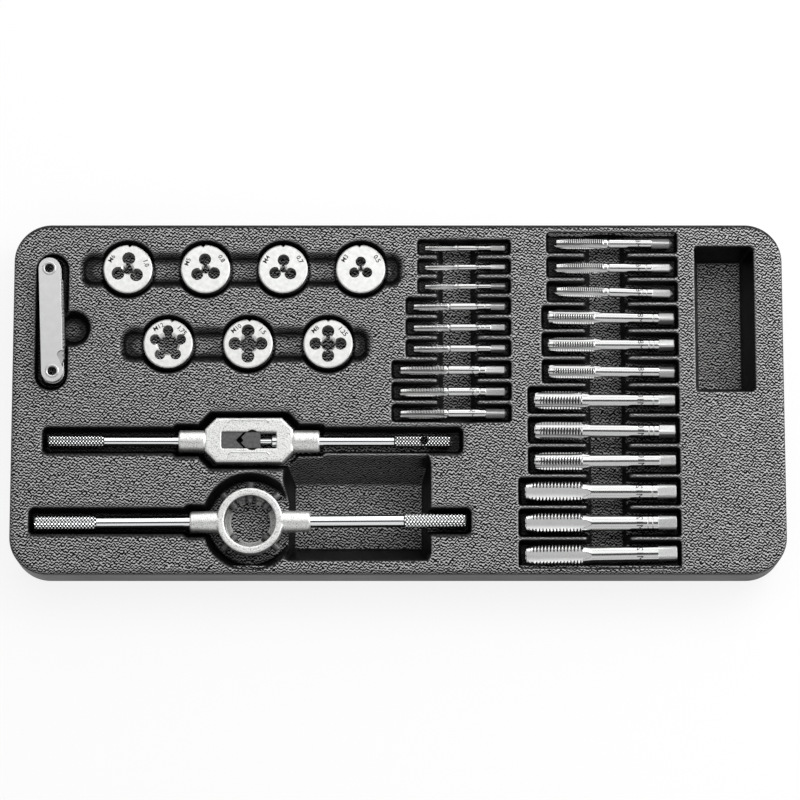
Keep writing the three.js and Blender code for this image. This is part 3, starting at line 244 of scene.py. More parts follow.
def sampled(values, grid, points):
    """Values of a regular grid read between its nodes."""
    low_x, low_y = grid[0][0, 0], grid[1][0, 0]
    step_x, step_y = grid[0][1, 0] - low_x, grid[1][0, 1] - low_y
    u = np.clip((points[:, 0] - low_x) / step_x, 0, values.shape[0] - 1.001)
    v = np.clip((points[:, 1] - low_y) / step_y, 0, values.shape[1] - 1.001)
    i, j = u.astype(int), v.astype(int)
    u, v = u - i, v - j
    near = values[i, j] * (1 - v) + values[i, j + 1] * v
    far = values[i + 1, j] * (1 - v) + values[i + 1, j + 1] * v
    return near * (1 - u) + far * u


def bridge(outer, inner, angle_of):
    """Triangles between two rims that run the same way round, by their angle in plan."""
    faces, i, j = [], 0, 0
    inner = np.roll(inner, -int(np.argmin(np.abs(angle_of(inner) - angle_of(outer[:1])))))
    turn = lambda rim: np.unwrap(np.append(angle_of(rim), angle_of(rim[:1])))
    outer_turn, inner_turn = turn(outer), turn(inner)
    while i < len(outer) or j < len(inner):
        a, b = int(outer[i % len(outer)]), int(inner[j % len(inner)])
        if j >= len(inner) or (i < len(outer) and outer_turn[i + 1] <= inner_turn[j + 1]):
            faces.append((int(outer[(i + 1) % len(outer)]), a, b))
            i += 1
        else:
            faces.append((a, b, int(inner[(j + 1) % len(inner)])))
            j += 1
    return faces


def piece(name, points, faces, material, body, *nodes, slot, crease=None):
    """A smooth mesh piece from points in millimetres; it stands for CAD nodes and rides on a body.
    Edges that turn by more than crease degrees stay sharp."""
    mesh = bpy.data.meshes.new(name)
    mesh.from_pydata((np.asarray(points, float) * MM).tolist(), [], faces)
    mesh.validate()
    mesh.polygons.foreach_set("use_smooth", [True] * len(mesh.polygons))
    if crease:
        mesh.set_sharp_from_angle(angle=math.radians(crease))
    mesh.materials.append(material)
    obj = bpy.data.objects.new(name, mesh)
    bpy.context.scene.collection.objects.link(obj)
    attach(obj, body)
    if nodes:
        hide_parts(*nodes)
    return obj


def linear(colour):
    """An sRGB hex colour as linear red, green, blue and alpha."""
    parts = [int(colour[start : start + 2], 16) / 255 for start in (1, 3, 5)]
    return [c / 12.92 if c <= 0.04045 else ((c + 0.055) / 1.055) ** 2.4 for c in parts] + [1.0]


def add(tree, kind, links=(), **settings):
    """Adds a node. Links are (socket, from); a setting is a property or, with _ for a space, a
    socket."""
    node = tree.nodes.new(kind)
    for name, value in settings.items():
        if hasattr(node, name):
            setattr(node, name, value)
        else:
            node.inputs[name.replace("_", " ")].default_value = value
    for socket, source in links:
        tree.links.new(source, node.inputs[socket])
    return node


def finish(name, colour, **settings):
    """A new material with its Principled shader; returns both."""
    material = bpy.data.materials.new(name)
    material.use_nodes = True
    shader = material.node_tree.nodes["Principled BSDF"]
    shader.inputs["Base Color"].default_value = linear(colour)
    for socket, value in settings.items():
        shader.inputs[socket.replace("_", " ")].default_value = value
    return material, shader


def formed_abs():
    """Black ABS sheet, vacuum formed over a leather grain: wandering ridges with dark hollows and pale
    tops, which are a painted highlight for the grain's glints. The grain fades on steep walls, sooner
    on those that face the back, and in narrow slots, where painted shade turns it near black; the rims
    get a painted highlight. The mesh's attribute tells slots (above 0) from rims (below 0)."""
    material, shader = finish("formed_abs_leather_grain", "#3a3a3a", Roughness=0.42, IOR=1.5)
    shader.inputs["Specular IOR Level"].default_value = 0.12
    tree = material.node_tree
    place = add(tree, "ShaderNodeTexCoord").outputs["Object"]
    # three sets of ridges cross and lean by 30 degrees, so that few walls draw them out; leaning
    # ridges 1.25 mm apart show about 1.4 mm apart on the flats
    grain = None
    for slant in (-38, 4, 34):
        across = add(
            tree, "ShaderNodeMapping", [("Vector", place)],
            Rotation=(math.radians(-30), 0, math.radians(slant)), Location=(0, 0, slant),
        )
        ridges = add(
            tree, "ShaderNodeTexWave", [("Vector", across.outputs[0])], wave_type="BANDS",
            bands_direction="Y", Scale=math.pi / (10 * 1.25 * MM), Distortion=4.0, Detail=0.0,
        )
        ridges.inputs["Detail Scale"].default_value = 1.5
        ridges = ridges.outputs[0]
        if grain is not None:
            ridges = add(tree, "ShaderNodeMath", [(0, grain), (1, ridges)], operation="ADD").outputs[0]
        grain = ridges
    face = add(tree, "ShaderNodeNewGeometry").outputs["Normal"]
    facing = add(tree, "ShaderNodeSeparateXYZ", [("Vector", face)]).outputs
    slot_shade_rim_highlight = add(tree, "ShaderNodeAttribute", attribute_name="slot_shade_rim_highlight").outputs["Fac"]
    wear = add(tree, "ShaderNodeTexNoise", [("Vector", place)], Scale=1 / (38 * MM), Detail=3.0)
    # the grain would streak on steep slopes and sooner on those that face the back, so it fades; the
    # same fade is painted shade that turns these walls near black
    height, level, back, slot_shade, rim_highlight, gloss = [
        add(
            tree, "ShaderNodeMapRange", [("Value", value)],
            From_Min=low, From_Max=high, To_Min=at_low, To_Max=at_high,
        ).outputs[0]
        for value, low, high, at_low, at_high in (
            (grain, 1.42, 1.84, 0.0, 1.0),
            (facing["Z"], 0.35, 0.85, 0.02, 1.0),
            (facing["Y"], 0.12, 0.45, 1.0, 0.05),
            (slot_shade_rim_highlight, 0.1, 1.3, 1.0, 0.08),
            (slot_shade_rim_highlight, -1.0, -0.1, 0.45, 0.0),
            (wear.outputs["Fac"], 0.0, 1.0, 0.36, 0.5),
        )
    ]
    # painted shade on steep walls and on walls that face the back
    level = add(tree, "ShaderNodeMath", [(0, level), (1, back)], operation="MULTIPLY").outputs[0]
    grain_and_unshaded = add(tree, "ShaderNodeMath", [(0, slot_shade), (1, level)], operation="MULTIPLY").outputs[0]
    # the rims' painted highlight lifts the grain's tone
    raised = add(tree, "ShaderNodeMath", [(0, height), (1, rim_highlight)], operation="ADD").outputs[0]
    painted_tone = add(tree, "ShaderNodeMath", [(0, raised), (1, grain_and_unshaded)], operation="MULTIPLY").outputs[0]
    # the tone runs from #020202, painted shade, to #b8b8b8, the painted highlight on the ridge tops
    tone = add(tree, "ShaderNodeMix", [("Factor", painted_tone)], data_type="RGBA")
    tone.inputs[6].default_value, tone.inputs[7].default_value = linear("#020202"), linear("#b8b8b8")
    bump = add(tree, "ShaderNodeBump", [("Height", height), ("Strength", grain_and_unshaded)], Distance=0.5 * MM)
    tree.links.new(tone.outputs[2], shader.inputs["Base Color"])
    tree.links.new(bump.outputs["Normal"], shader.inputs["Normal"])
    tree.links.new(gloss, shader.inputs["Roughness"])
    return material


def tray_sheet():
    """The sheet as one closed mesh, grid above and below and rings down its skirt, and for each point
    of its upper face the painted shade of slots (above 0) and painted highlight of rims (below 0)."""
    inset = SKIRT_DRAFT + EDGE_RADIUS
    plan, quads, rim, grid = grid_in_outline(GRID, inset)
    height = blurred(formed_height(*grid), DRAPE / GRID)
    points = [np.column_stack([plan, sampled(height, grid, plan)])]
    # only what lies within 6 mm of the top counts as slot or rim, and deep wells get no painted shade
    shallow = np.maximum(height, TOP - 6)
    # painted shade: how much lower than its surroundings the sheet lies in a slot
    slots = np.maximum(blurred(shallow, SLOT_REACH / GRID) - shallow, 0)
    slots *= np.clip((height - TOP + 13.5) / 1.5, 0, 1)
    # painted highlight: how much higher than its surroundings the sheet stands at a rim
    rims = np.maximum(shallow - blurred(shallow, RIM_REACH / GRID), 0)
    slot_shade_rim_highlight = sampled(slots - rims, grid, plan)
    # the skirt's rings by inset and height: rounded edge, foot, then the inner face up to the sheet
    turns = np.radians(range(15, 91, 15))
    rings = [(inset - EDGE_RADIUS * math.sin(a), TOP - EDGE_RADIUS * (1 - math.cos(a))) for a in turns]
    inner = SHEET + SKIRT_DRAFT
    rings += [(0, 0), (SHEET, 0), (inner, TOP - 5), (inner + 1, TOP - 3), (inset + 1.6, TOP - 2.1)]
    faces, count, before = quads.tolist(), len(plan), rim
    for side, z in rings:
        points.append(np.column_stack([outline_point(plan[rim], side), np.full(len(rim), z)]))
        ring = count + np.arange(len(rim))
        count += len(rim)
        following = np.roll(before, -1), np.roll(ring, -1)
        faces += np.column_stack([following[0], before, ring, following[1]]).tolist()
        before = ring
    under_plan, under_quads, under_rim, _ = grid_in_outline(UNDER_GRID, inset + 2.6)
    under = lowest_near(height, round(1.6 / GRID)) - 1.9
    under_height = np.maximum(sampled(under, grid, under_plan), 0)
    points.append(np.column_stack([under_plan, under_height]))
    faces += (under_quads[:, ::-1] + count).tolist()
    points = np.concatenate(points)
    angle_of = lambda rows: np.arctan2(points[rows, 1] * HALF_LENGTH / HALF_WIDTH, points[rows, 0])
    faces += bridge(before, under_rim + count, angle_of)
    return points, faces, slot_shade_rim_highlight


tray_points, tray_faces, slot_shade_rim_highlight = tray_sheet()
formed_tray = piece(
    "formed_tray", tray_points, tray_faces, formed_abs(), "tray", "tray", slot="tray_plastic"
)
# the mesh carries the painted shade of slots and painted highlight of rims to the material
shade_highlight_attribute = formed_tray.data.attributes.new("slot_shade_rim_highlight", "FLOAT", "POINT")
shade_highlight_attribute.data.foreach_set("value", np.append(slot_shade_rim_highlight, np.zeros(len(tray_points) - len(slot_shade_rim_highlight))))

# Round dies
# Round dies of tool steel, 25.4 mm across and 9 mm thick: turned, drilled with chip holes that
# break into the threaded bore, hardened, then ground flat and laser marked with size and pitch.
DIE_RADIUS = 12.7
DIE_THICKNESS = 9.0
DIE_TOP = 26.8
DIE_CHAMFER = 0.6
MARK_CIRCLE = 9.9
MARK_HEIGHT = 2.4
# size: bore, thread, pitch, chip holes, their radius, their circle, turn of the holes and of the
# notch, and the bearings of the two marks
DIES = {
    "m6": (5, 6, "1.0", 3, 3.4, 5.5, -5, -4, 147, 18),
    "m5": (4.2, 5, "0.8", 3, 3.2, 5, 3, 6, 158, 33),
    "m4": (3.3, 4, "0.7", 3, 3.1, 4.6, -3, 0, 150, 30),
    "m3": (2.5, 3, "0.5", 3, 2.7, 3.8, 0, 3, 146, 32),
    "m12": (10.2, 12, "1.75", 5, 2.8, 6.9, 0, -10, 120, 44),
    "m10": (8.5, 10, "1.5", 4, 3.4, 6.7, 0, -3, 128, 42),
    "m8": (6.8, 8, "1.25", 4, 3.25, 6.4, 0, 0, 132, 40),
}


def triangle_wave(turns):
    """0 at whole turns and 1 half way between them."""
    return 1 - np.abs(2 * (turns % 1) - 1)


def strip(rings):
    """Quads that join equal rings of points, stored one after another."""
    count = len(rings[0])
    index = np.arange(count)
    following = (index + 1) % count
    return [
        quad
        for low in range(0, count * (len(rings) - 1), count)
        for quad in np.column_stack(
            [low + index, low + following, low + count + following, low + count + index]
        ).tolist()
    ]


def clover(bore, holes, hole_radius, circle, turn):
    """The bore and the chip holes that break into it as one outline, anticlockwise from above."""
    radius = bore / 2
    opening = math.acos((circle**2 + radius**2 - hole_radius**2) / (2 * radius * circle))
    beside = math.atan2(radius * math.sin(opening), circle - radius * math.cos(opening))
    outline = []
    for hole in range(holes):
        bearing = math.radians(90 + turn) + 2 * math.pi * hole / holes
        centre = circle * np.array([math.cos(bearing), math.sin(bearing)])
        for angle in bearing + np.linspace(beside - math.pi, math.pi - beside, 30):
            outline.append(centre + hole_radius * np.array([math.cos(angle), math.sin(angle)]))
        for angle in np.linspace(bearing + opening, bearing + 2 * math.pi / holes - opening, 10)[1:-1]:
            outline.append(radius * np.array([math.cos(angle), math.sin(angle)]))
    return np.array(outline)


def die_rim(radius, notch_turn):
    """The rim with its V notch, which tells the die's way round in the stock."""
    steps = [step for step in range(-176, 181, 4) if step]
    bearings = np.radians([-5, 0, 5] + [step for step in steps if abs(step) > 5])
    bearings = np.sort(bearings)
    radii = np.where(bearings == 0, radius - 0.9, radius)
    bearings += math.radians(90 + notch_turn)
    return np.column_stack([radii * np.cos(bearings), radii * np.sin(bearings)])


def at_height(plan, z):
    return np.column_stack([plan, np.full(len(plan), z)])


def capped(rings, hole_rings):
    """A plate with one hole: outer rings from the bottom up, hole rings from the top down."""
    points = np.concatenate(rings + hole_rings)
    first_hole = len(rings) * len(rings[0])
    faces = strip(rings)
    faces += [[first_hole + corner for corner in quad] for quad in strip(hole_rings)]
    for outer, inner, outer_start, inner_start, upward in (
        (rings[0], hole_rings[-1], 0, len(points) - len(hole_rings[-1]), False),
        (rings[-1], hole_rings[0], first_hole - len(rings[-1]), first_hole, True),
    ):
        both = [[tuple(point) for point in outer], [tuple(point) for point in inner]]
        flat = np.concatenate([outer, inner])
        for corners in tessellate_polygon(both):
            a, b, c = flat[list(corners)]
            upright = np.cross(b - a, c - a)[2] > 0
            order = corners if upright == upward else corners[::-1]
            faces.append([
                corner + (outer_start if corner < len(outer) else inner_start - len(outer))
                for corner in order
            ])
    return points, faces


def lettering(text, height, weight, reach=0):
    """Letters as a closed mesh 0.04 mm thick about the origin; weight swells the strokes and reach
    slices them for bending."""
    curve = bpy.data.curves.new("lettering", "FONT")
    curve.body, curve.size, curve.extrude = text, height * 1.4, 0.02
    curve.resolution_u, curve.align_x, curve.align_y = 2, "CENTER", "CENTER"
    curve.offset = weight
    letters = bpy.data.objects.new("lettering", curve)
    bpy.context.scene.collection.objects.link(letters)
    bpy.context.view_layer.update()
    flat = bpy.data.meshes.new_from_object(letters.evaluated_get(bpy.context.evaluated_depsgraph_get()))
    bpy.data.objects.remove(letters)
    shape = bmesh.new()
    shape.from_mesh(flat)
    bmesh.ops.remove_doubles(shape, verts=shape.verts, dist=1e-5)
    for place in np.arange(-reach, reach, 0.4):
        geometry = shape.verts[:] + shape.edges[:] + shape.faces[:]
        bmesh.ops.bisect_plane(shape, geom=geometry, plane_co=(place, 0, 0), plane_no=(1, 0, 0))
    points = np.array([vertex.co[:] for vertex in shape.verts])
    faces = [[vertex.index for vertex in face.verts] for face in shape.faces]
    shape.free()
    return points, faces


def turned(shape, bearing=0.0, upright=False):
    """A shape along +X turned to a bearing in plan, or stood up along +Z."""
    points, faces = shape
    if upright:
        return points[:, [1, 2, 0]], faces
    cosine, sine = math.cos(math.radians(bearing)), math.sin(math.radians(bearing))
    x, y = points[:, 0] * cosine - points[:, 1] * sine, points[:, 0] * sine + points[:, 1] * cosine
    return np.column_stack([x, y, points[:, 2]]), faces


def joined(*shapes):
    """Several shapes, each its points and faces, as one."""
    faces, count = [], 0
    for points, more in shapes:
        faces += [[corner + count for corner in face] for face in more]
        count += len(points)
    return np.concatenate([points for points, _ in shapes]), faces


def mottled(name, dark, light, patch, detail, rough, scratch=None, press=None, metallic=1.0):
    """A finish that drifts between two tones, and over a range of roughness, in patches of a size in
    millimetres. Scratches have their sizes along X, Y and Z and their detail; press is the strength
    and the depth in millimetres with which they, or else the patches, stand out."""
    material, shader = finish(name, light, Metallic=metallic, Roughness=rough[0])
    tree = material.node_tree
    place = add(tree, "ShaderNodeTexCoord").outputs["Object"]
    cloud = add(tree, "ShaderNodeTexNoise", [("Vector", place)], Scale=1 / (patch * MM), Detail=detail)
    relief = cloud = cloud.outputs["Fac"]
    if dark != light:
        tone = add(tree, "ShaderNodeMix", [("Factor", cloud)], data_type="RGBA")
        tone.inputs[6].default_value, tone.inputs[7].default_value = linear(dark), linear(light)
        tree.links.new(tone.outputs[2], shader.inputs["Base Color"])
    if rough[0] != rough[1]:
        worn = add(tree, "ShaderNodeMapRange", [("Value", cloud)], To_Min=rough[0], To_Max=rough[1])
        tree.links.new(worn.outputs[0], shader.inputs["Roughness"])
    if scratch:
        *sizes, fine = scratch
        along = add(
            tree, "ShaderNodeMapping", [("Vector", place)], Scale=[1 / (size * MM) for size in sizes]
        )
        lines = add(
            tree, "ShaderNodeTexNoise", [("Vector", along.outputs[0])], Scale=1.0, Detail=fine
        )
        relief = lines.outputs["Fac"]
    if press:
        bump = add(
            tree, "ShaderNodeBump", [("Height", relief)], Strength=press[0], Distance=press[1] * MM
        )
        tree.links.new(bump.outputs["Normal"], shader.inputs["Normal"])
    return material


# Die steel, hardened and surface ground: an even satin with very fine straight scratches.
die_finish = mottled(
    "tool_steel_ground_satin", "#bcbdbb", "#f0f1ef", 2.2, 4.0, (0.36, 0.5),
    scratch=(0.09, 3, 16.7, 3.0), press=(0.25, 0.012),
)
# Laser marking: the beam leaves a dark, dull oxide.
mark_finish = mottled(
    "laser_mark_dark_oxide", "#101010", "#2a2a29", 0.25, 2.0, (0.75, 0.75), metallic=0.0
)
for left, spacing, row_y, sizes in DIE_ROWS:
    for place, size in enumerate(sizes):
        bore, thread, pitch_mark, holes, hole_radius, circle, turn, notch, *mark_bearings = DIES[size]
        pitch = float(pitch_mark)
        centre = np.array([left + spacing * place, row_y, DIE_TOP])
        face = DIE_RADIUS - DIE_CHAMFER
        rim = [
            at_height(die_rim(radius, notch), z)
            for radius, z in (
                (face, -DIE_THICKNESS), (DIE_RADIUS, DIE_CHAMFER - DIE_THICKNESS),
                (DIE_RADIUS, -DIE_CHAMFER), (face, 0),
            )
        ]
        plan = clover(bore, holes, hole_radius, circle, turn)
        distance = np.hypot(*plan.T)
        bearing = np.arctan2(plan[:, 1], plan[:, 0])
        walls = []
        for z in np.linspace(0, -DIE_THICKNESS, round(8 * DIE_THICKNESS / pitch) + 1):
            lead_in = (thread - bore) / 2 + 0.35 - min(-z, z + DIE_THICKNESS)
            groove = (thread - bore) / 2 * triangle_wave(z / pitch - bearing / (2 * math.pi))
            wall = np.maximum(distance, bore / 2 + np.maximum(groove, lead_in))
            walls.append(at_height(plan * (wall / distance)[:, None], z))
        points, faces = capped(rim, walls)
        piece(
            f"round_die_{size}", points + centre, faces, die_finish, f"die_{size}", f"die_{size}",
            slot="die_steel", crease=28,
        )
        marks = []
        for text, bearing in zip((size.upper(), pitch_mark), mark_bearings):
            points, faces = lettering(text, MARK_HEIGHT, 0.035 if text[0] == "M" else 0.07)
            points, faces = turned((points + (0, MARK_CIRCLE, 0.005), faces), bearing - 90)
            marks.append((points + centre, faces))
        piece(f"die_marks_{size}", *joined(*marks), mark_finish, f"die_{size}", slot="die_steel")

# Hand taps
# Three taps of each size: turned from round steel, fluted and threaded at the left end, the shank
# ground bright, marked, and milled to a square for the wrench. Rings on the shank count the set.
# size: bearings of a flute, turns of the square, slants in plan and shank rings of the three taps
TAP_PLACES = {
    "m3": ((45, 43, 46), (20, 5, 50), (-0.3, 0.2, 0.1), (1, 2, 0)),
    "m4": ((46, 44, 45), (35, 10, 60), (0.1, 0.2, -0.1), (1, 2, 0)),
    "m5": ((45, 42, 46), (0, 15, 45), (-0.3, 0, 0), (1, 2, 0)),
    "m6": ((47, 45, 43), (45, 0, 8), (-0.3, -0.4, -1.6), (0, 1, 2)),
    "m8": ((48, 51, 50), (-32, -25, 35), (-0.9, -0.2, -0.5), (1, 2, 0)),
    "m10": ((54, 60, 51), (0, -22, 4), (-0.2, -0.5, 0.3), (1, 2, 0)),
    "m12": ((13, 12, 14), (0, 3, -3), (0, 0.2, 0.9), (1, 2, 0)),
}


def tap_skin(size, place):
    """Rings of a tap along +X from its threaded end, with thread, flutes, shank rings and square."""
    thread, shank, length, _, cut, run_out, square, point, pitch = TAP_SIZES[size]
    flute_turns, square_turns, _, ring_counts = TAP_PLACES[size]
    flutes = 4 if size in ("m8", "m10") else 3
    radius, neck = thread / 2, shank / 2
    depth = 0.6 * pitch
    lead = 0.22 * cut
    flute_end = cut + run_out
    square_start, square_end = length - square - point, length - point
    ends = [0.0, 0.35 * point] if point else [0.0, 0.3]
    along = ends + [*np.arange(point or 0.5, cut, pitch / 8), *np.arange(cut, flute_end + 0.6, 0.25)]
    grooves = [square_start - 2.6 - 2.4 * ring for ring in range(ring_counts[place])]
    for groove in grooves:
        along += [groove - 0.35, groove - 0.15, groove + 0.15, groove + 0.35]
    along += [flute_end + 1.5, square_start - 0.3, square_start, square_start + 0.25]
    along += [square_start + 0.6, square_end - 0.35, square_end]
    if point:
        along.append(length)
    along = np.unique(np.round(along, 4))[:, None]
    bearing = np.radians(np.arange(0, 360, 4))[None, :]
    # thread, its tapered lead and the plain neck behind it
    crest = radius * np.clip(0.76 + 0.24 * (along - point) / lead, 0, 1)
    wave = triangle_wave(along / pitch + bearing / (2 * math.pi))
    groove = radius - depth * np.clip(wave * 1.5 - 0.42, 0, 1)
    skin = np.minimum(crest, groove)
    share = np.clip((along - cut) / run_out, 0, 1)
    behind = max(neck, radius - depth) * (1 - share) + neck * share
    collar = np.clip((along - cut) / (0.5 * pitch), 0, 1)
    skin = np.where(along < cut, skin, radius * (1 - collar) + behind * collar)
    if thread <= 6:
        skin = skin - 0.45 * np.exp(-(((along - cut - 0.85 * run_out) / 0.3) ** 2))
    # flutes are ground by a round wheel that lifts out of the steel behind the thread
    core, half_flute = (0.6, 16) if flutes == 4 else (0.62, 38) if thread > 10 else (0.45, 33)
    cosine = math.cos(math.radians(half_flute))
    wheel = (1 - core**2) / (2 * (cosine - core))
    mill = wheel - core
    lift = (neck / radius - core) * np.clip((along - 0.7 * cut) / (flute_end - 0.7 * cut), 0, 1.2) ** 2
    centre = (wheel + lift) * radius
    sector = 2 * math.pi / flutes
    off = (bearing - math.radians(90 + flute_turns[place]) + sector / 2) % sector - sector / 2
    inside = (mill * radius) ** 2 - (centre * np.sin(off)) ** 2
    flute = np.where(inside > 0, centre * np.cos(off) - np.sqrt(np.maximum(inside, 0)), radius)
    skin = np.minimum(skin, np.where(along <= flute_end + 0.4, np.abs(flute), radius))
    # ends, shank rings and the square
    for place_of_ring in grooves:
        skin = skin - 0.16 * (np.abs(along - place_of_ring) < 0.2)
    around = (bearing - math.radians(square_turns[place]) + math.pi / 4) % (math.pi / 2) - math.pi / 4
    flat = np.minimum(0.8 * neck / np.cos(around), 0.97 * neck)
    milled = np.clip((along - square_start) / 0.5, 0, 1)
    skin = np.where(along > square_start, neck * (1 - milled) + flat * milled, skin)
    if point:
        skin = np.where(along < point, radius * (0.09 + 0.55 * along / point), skin)
        skin = np.where(along > square_end, 0.09 * radius, skin)
    else:
        skin = np.where(along < 0.4, np.minimum(skin, 0.55 * radius + along * 0.4), skin)
        skin = np.where(along > square_end - 0.1, skin - 0.3, skin)
    # thread roots are marked for the dark finish: painted shade
    shaded_roots = (along < cut) & (skin == groove) & (groove < radius - 0.5 * depth)
    in_flute = (along <= flute_end) & (along > point) & (skin == flute) & (flute < 0.97 * radius)
    kinds = np.where(in_flute, 3, np.where(shaded_roots, 2, np.where(along > square_start + 0.2, 1, 0)))
    return (along, skin, bearing), np.append(kinds.ravel(), [0, 1])


def round_skin(along, skin, bearing):
    """Points and faces of a closed bar along +X from its ring radii."""
    along, skin, bearing = np.broadcast_arrays(along, skin, bearing)
    points = np.stack([along, skin * np.cos(bearing), skin * np.sin(bearing)], axis=2)
    faces = strip(points)
    count = points.shape[1]
    total = points.shape[0] * count
    flat = np.concatenate([points.reshape(-1, 3), [[along[0, 0], 0, 0], [along[-1, 0], 0, 0]]])
    for step in range(count):
        following = (step + 1) % count
        faces.append([total, following, step])
        faces.append([total + 1, total - count + step, total - count + following])
    return flat, faces


# Bright drawn steel, centreless ground: fine rings round the bar and a sharp long highlight.
tap_finish = mottled(
    "tool_steel_centreless_ground", "#c4c5c4", "#c4c5c4", 5, 4.0, (0.1, 0.2),
    scratch=(0.12, 11.1, 11.1, 2.0), press=(0.3, 0.008),
)
# Steel left as the cutter leaves it, on the square and in the flutes: even and dull, finely grained.
square_finish, flute_finish = [
    mottled(name, dark, light, 0.5, 3.0, (0.52, 0.52), press=(0.5, 0.03))
    for name, dark, light in (
        ("tool_steel_milled_square", "#828382", "#d0d1d0"),
        ("tool_steel_milled_flute", "#b2b3b2", "#dadbda"),
    )
]
# Painted shade in the roots of threads and the pits of knurls: a dark, dull steel finish.
root_shade_finish = mottled(
    "tool_steel_root_painted_shade", "#141312", "#3b3a38", 0.6, 2.0, (0.45, 0.45), metallic=0.8
)
for block in TAP_BLOCKS:
    for size, place, row_y in tap_rows(block):
        thread, shank, length, *_, pitch = TAP_SIZES[size]
        name = f"{size}_{place + 1}"
        skin, kinds = tap_skin(size, place)
        letters, letter_faces = lettering(size.upper(), min(0.52 * shank, 3.4), 0.0, reach=0.8 * shank)
        mark_at = length - TAP_SIZES[size][7] - TAP_SIZES[size][6] - (9.5 if thread > 6 else 7)
        wrapped = math.radians(100) - letters[:, 0] / (shank / 2)
        out = shank / 2 + letters[:, 2] + 0.005
        letters = np.column_stack(
            [mark_at + letters[:, 1], out * np.cos(wrapped), out * np.sin(wrapped)]
        )
        middle = np.array([block[0] - length / 2, row_y, TOP - TAP_AXIS_DEPTH])
        for label, (points, faces), surface, cover in (
            (f"hand_tap_{name}", round_skin(*skin), tap_finish, [f"tap_{name}"]),
            (f"tap_marks_{name}", (letters, letter_faces), mark_finish, []),
        ):
            points, faces = turned((points - (length / 2, 0, 0), faces), TAP_PLACES[size][2][place])
            tap = piece(
                label, points + middle, faces, surface, f"tap_{name}", *cover, slot="ground_steel",
                crease=32,
            )
            if cover:
                # square, thread roots with painted shade, and flutes
                for more in (square_finish, root_shade_finish, flute_finish):
                    tap.data.materials.append(more)
                for face in tap.data.polygons:
                    face.material_index = min(kinds[corner] for corner in face.vertices)

# Tap wrench
# An adjustable wrench: a zinc die casting with a window, two steel jaws that grip the tap's square,
# a plain handle fixed in one boss and a clamping handle whose screw drives the sliding jaw.
WRENCH = np.array([-76.8, -21.9, 21.0])
WINDOW_LEFT, WINDOW_RIGHT = -13.9, 14.2
JAW_TOP = 4.3
ROD_RADIUS = 2.75
# a grip's start, end, radius, diamonds round and their spacing along, which is a little coarser
# than the real 1.4 mm so that it shows; the pits take this share of the radius
WRENCH_GRIP = (74.7, 103.9, 3.3, 9, 1.66)
PIT_SHARE = 0.14
# voxels and smoothing of a die casting's soft skin
CAST_VOXEL = 0.28
CAST_SMOOTHING = 3


def inset_plan(plan, distance):
    """An anticlockwise outline moved inward by distance, with mitred corners."""
    into, out = plan - np.roll(plan, 1, axis=0), np.roll(plan, -1, axis=0) - plan
    into /= np.linalg.norm(into, axis=1, keepdims=True)
    out /= np.linalg.norm(out, axis=1, keepdims=True)
    inward = np.column_stack([-into[:, 1] - out[:, 1], into[:, 0] + out[:, 0]])
    return plan + inward * (distance / (1 + (into * out).sum(axis=1)))[:, None]


def plate(plan, low, high, bevel=0.0):
    """A flat plate between two heights, with bevelled edges."""
    plan = np.asarray(plan, float)
    levels = [(0, low), (0, high)]
    if bevel:
        levels = [(bevel, low), (0, low + bevel), (0, high - bevel), (bevel, high)]
    rings = [at_height(inset_plan(plan, side), z) for side, z in levels]
    count, last = len(plan), len(plan) * (len(rings) - 1)
    faces = strip(rings) + [list(range(count - 1, -1, -1)), list(range(last, last + count))]
    return np.concatenate(rings), faces


def bar(profile, sides=64):
    """A round bar along +X from (x, radius) pairs."""
    along = np.array([[x] for x, _ in profile], float)
    skin = np.array([[radius] * sides for _, radius in profile], float)
    return round_skin(along, skin, np.radians(np.arange(sides) * 360 / sides)[None, :])


def machined(solids, cuts, cast=False):
    """Solids joined and cut; a casting is then softened all over."""
    made = []
    for points, faces in solids + cuts:
        mesh = bpy.data.meshes.new("rough_part")
        mesh.from_pydata(np.asarray(points).tolist(), [], faces)
        made.append(bpy.data.objects.new("rough_part", mesh))
        bpy.context.scene.collection.objects.link(made[-1])
    for tool in made[1:]:
        step = made[0].modifiers.new("step", "BOOLEAN")
        step.operation = "UNION" if made.index(tool) < len(solids) else "DIFFERENCE"
        step.object, step.solver = tool, "EXACT"
    if cast:
        skin = made[0].modifiers.new("skin", "REMESH")
        skin.mode, skin.voxel_size = "VOXEL", CAST_VOXEL
        soften = made[0].modifiers.new("soften", "SMOOTH")
        soften.factor, soften.iterations = 0.5, CAST_SMOOTHING
    graph = bpy.context.evaluated_depsgraph_get()
    result = bpy.data.meshes.new_from_object(made[0].evaluated_get(graph))
    points = np.array([vertex.co[:] for vertex in result.vertices])
    faces = [list(face.vertices) for face in result.polygons]
    for tool in made:
        bpy.data.objects.remove(tool)
    return points, faces


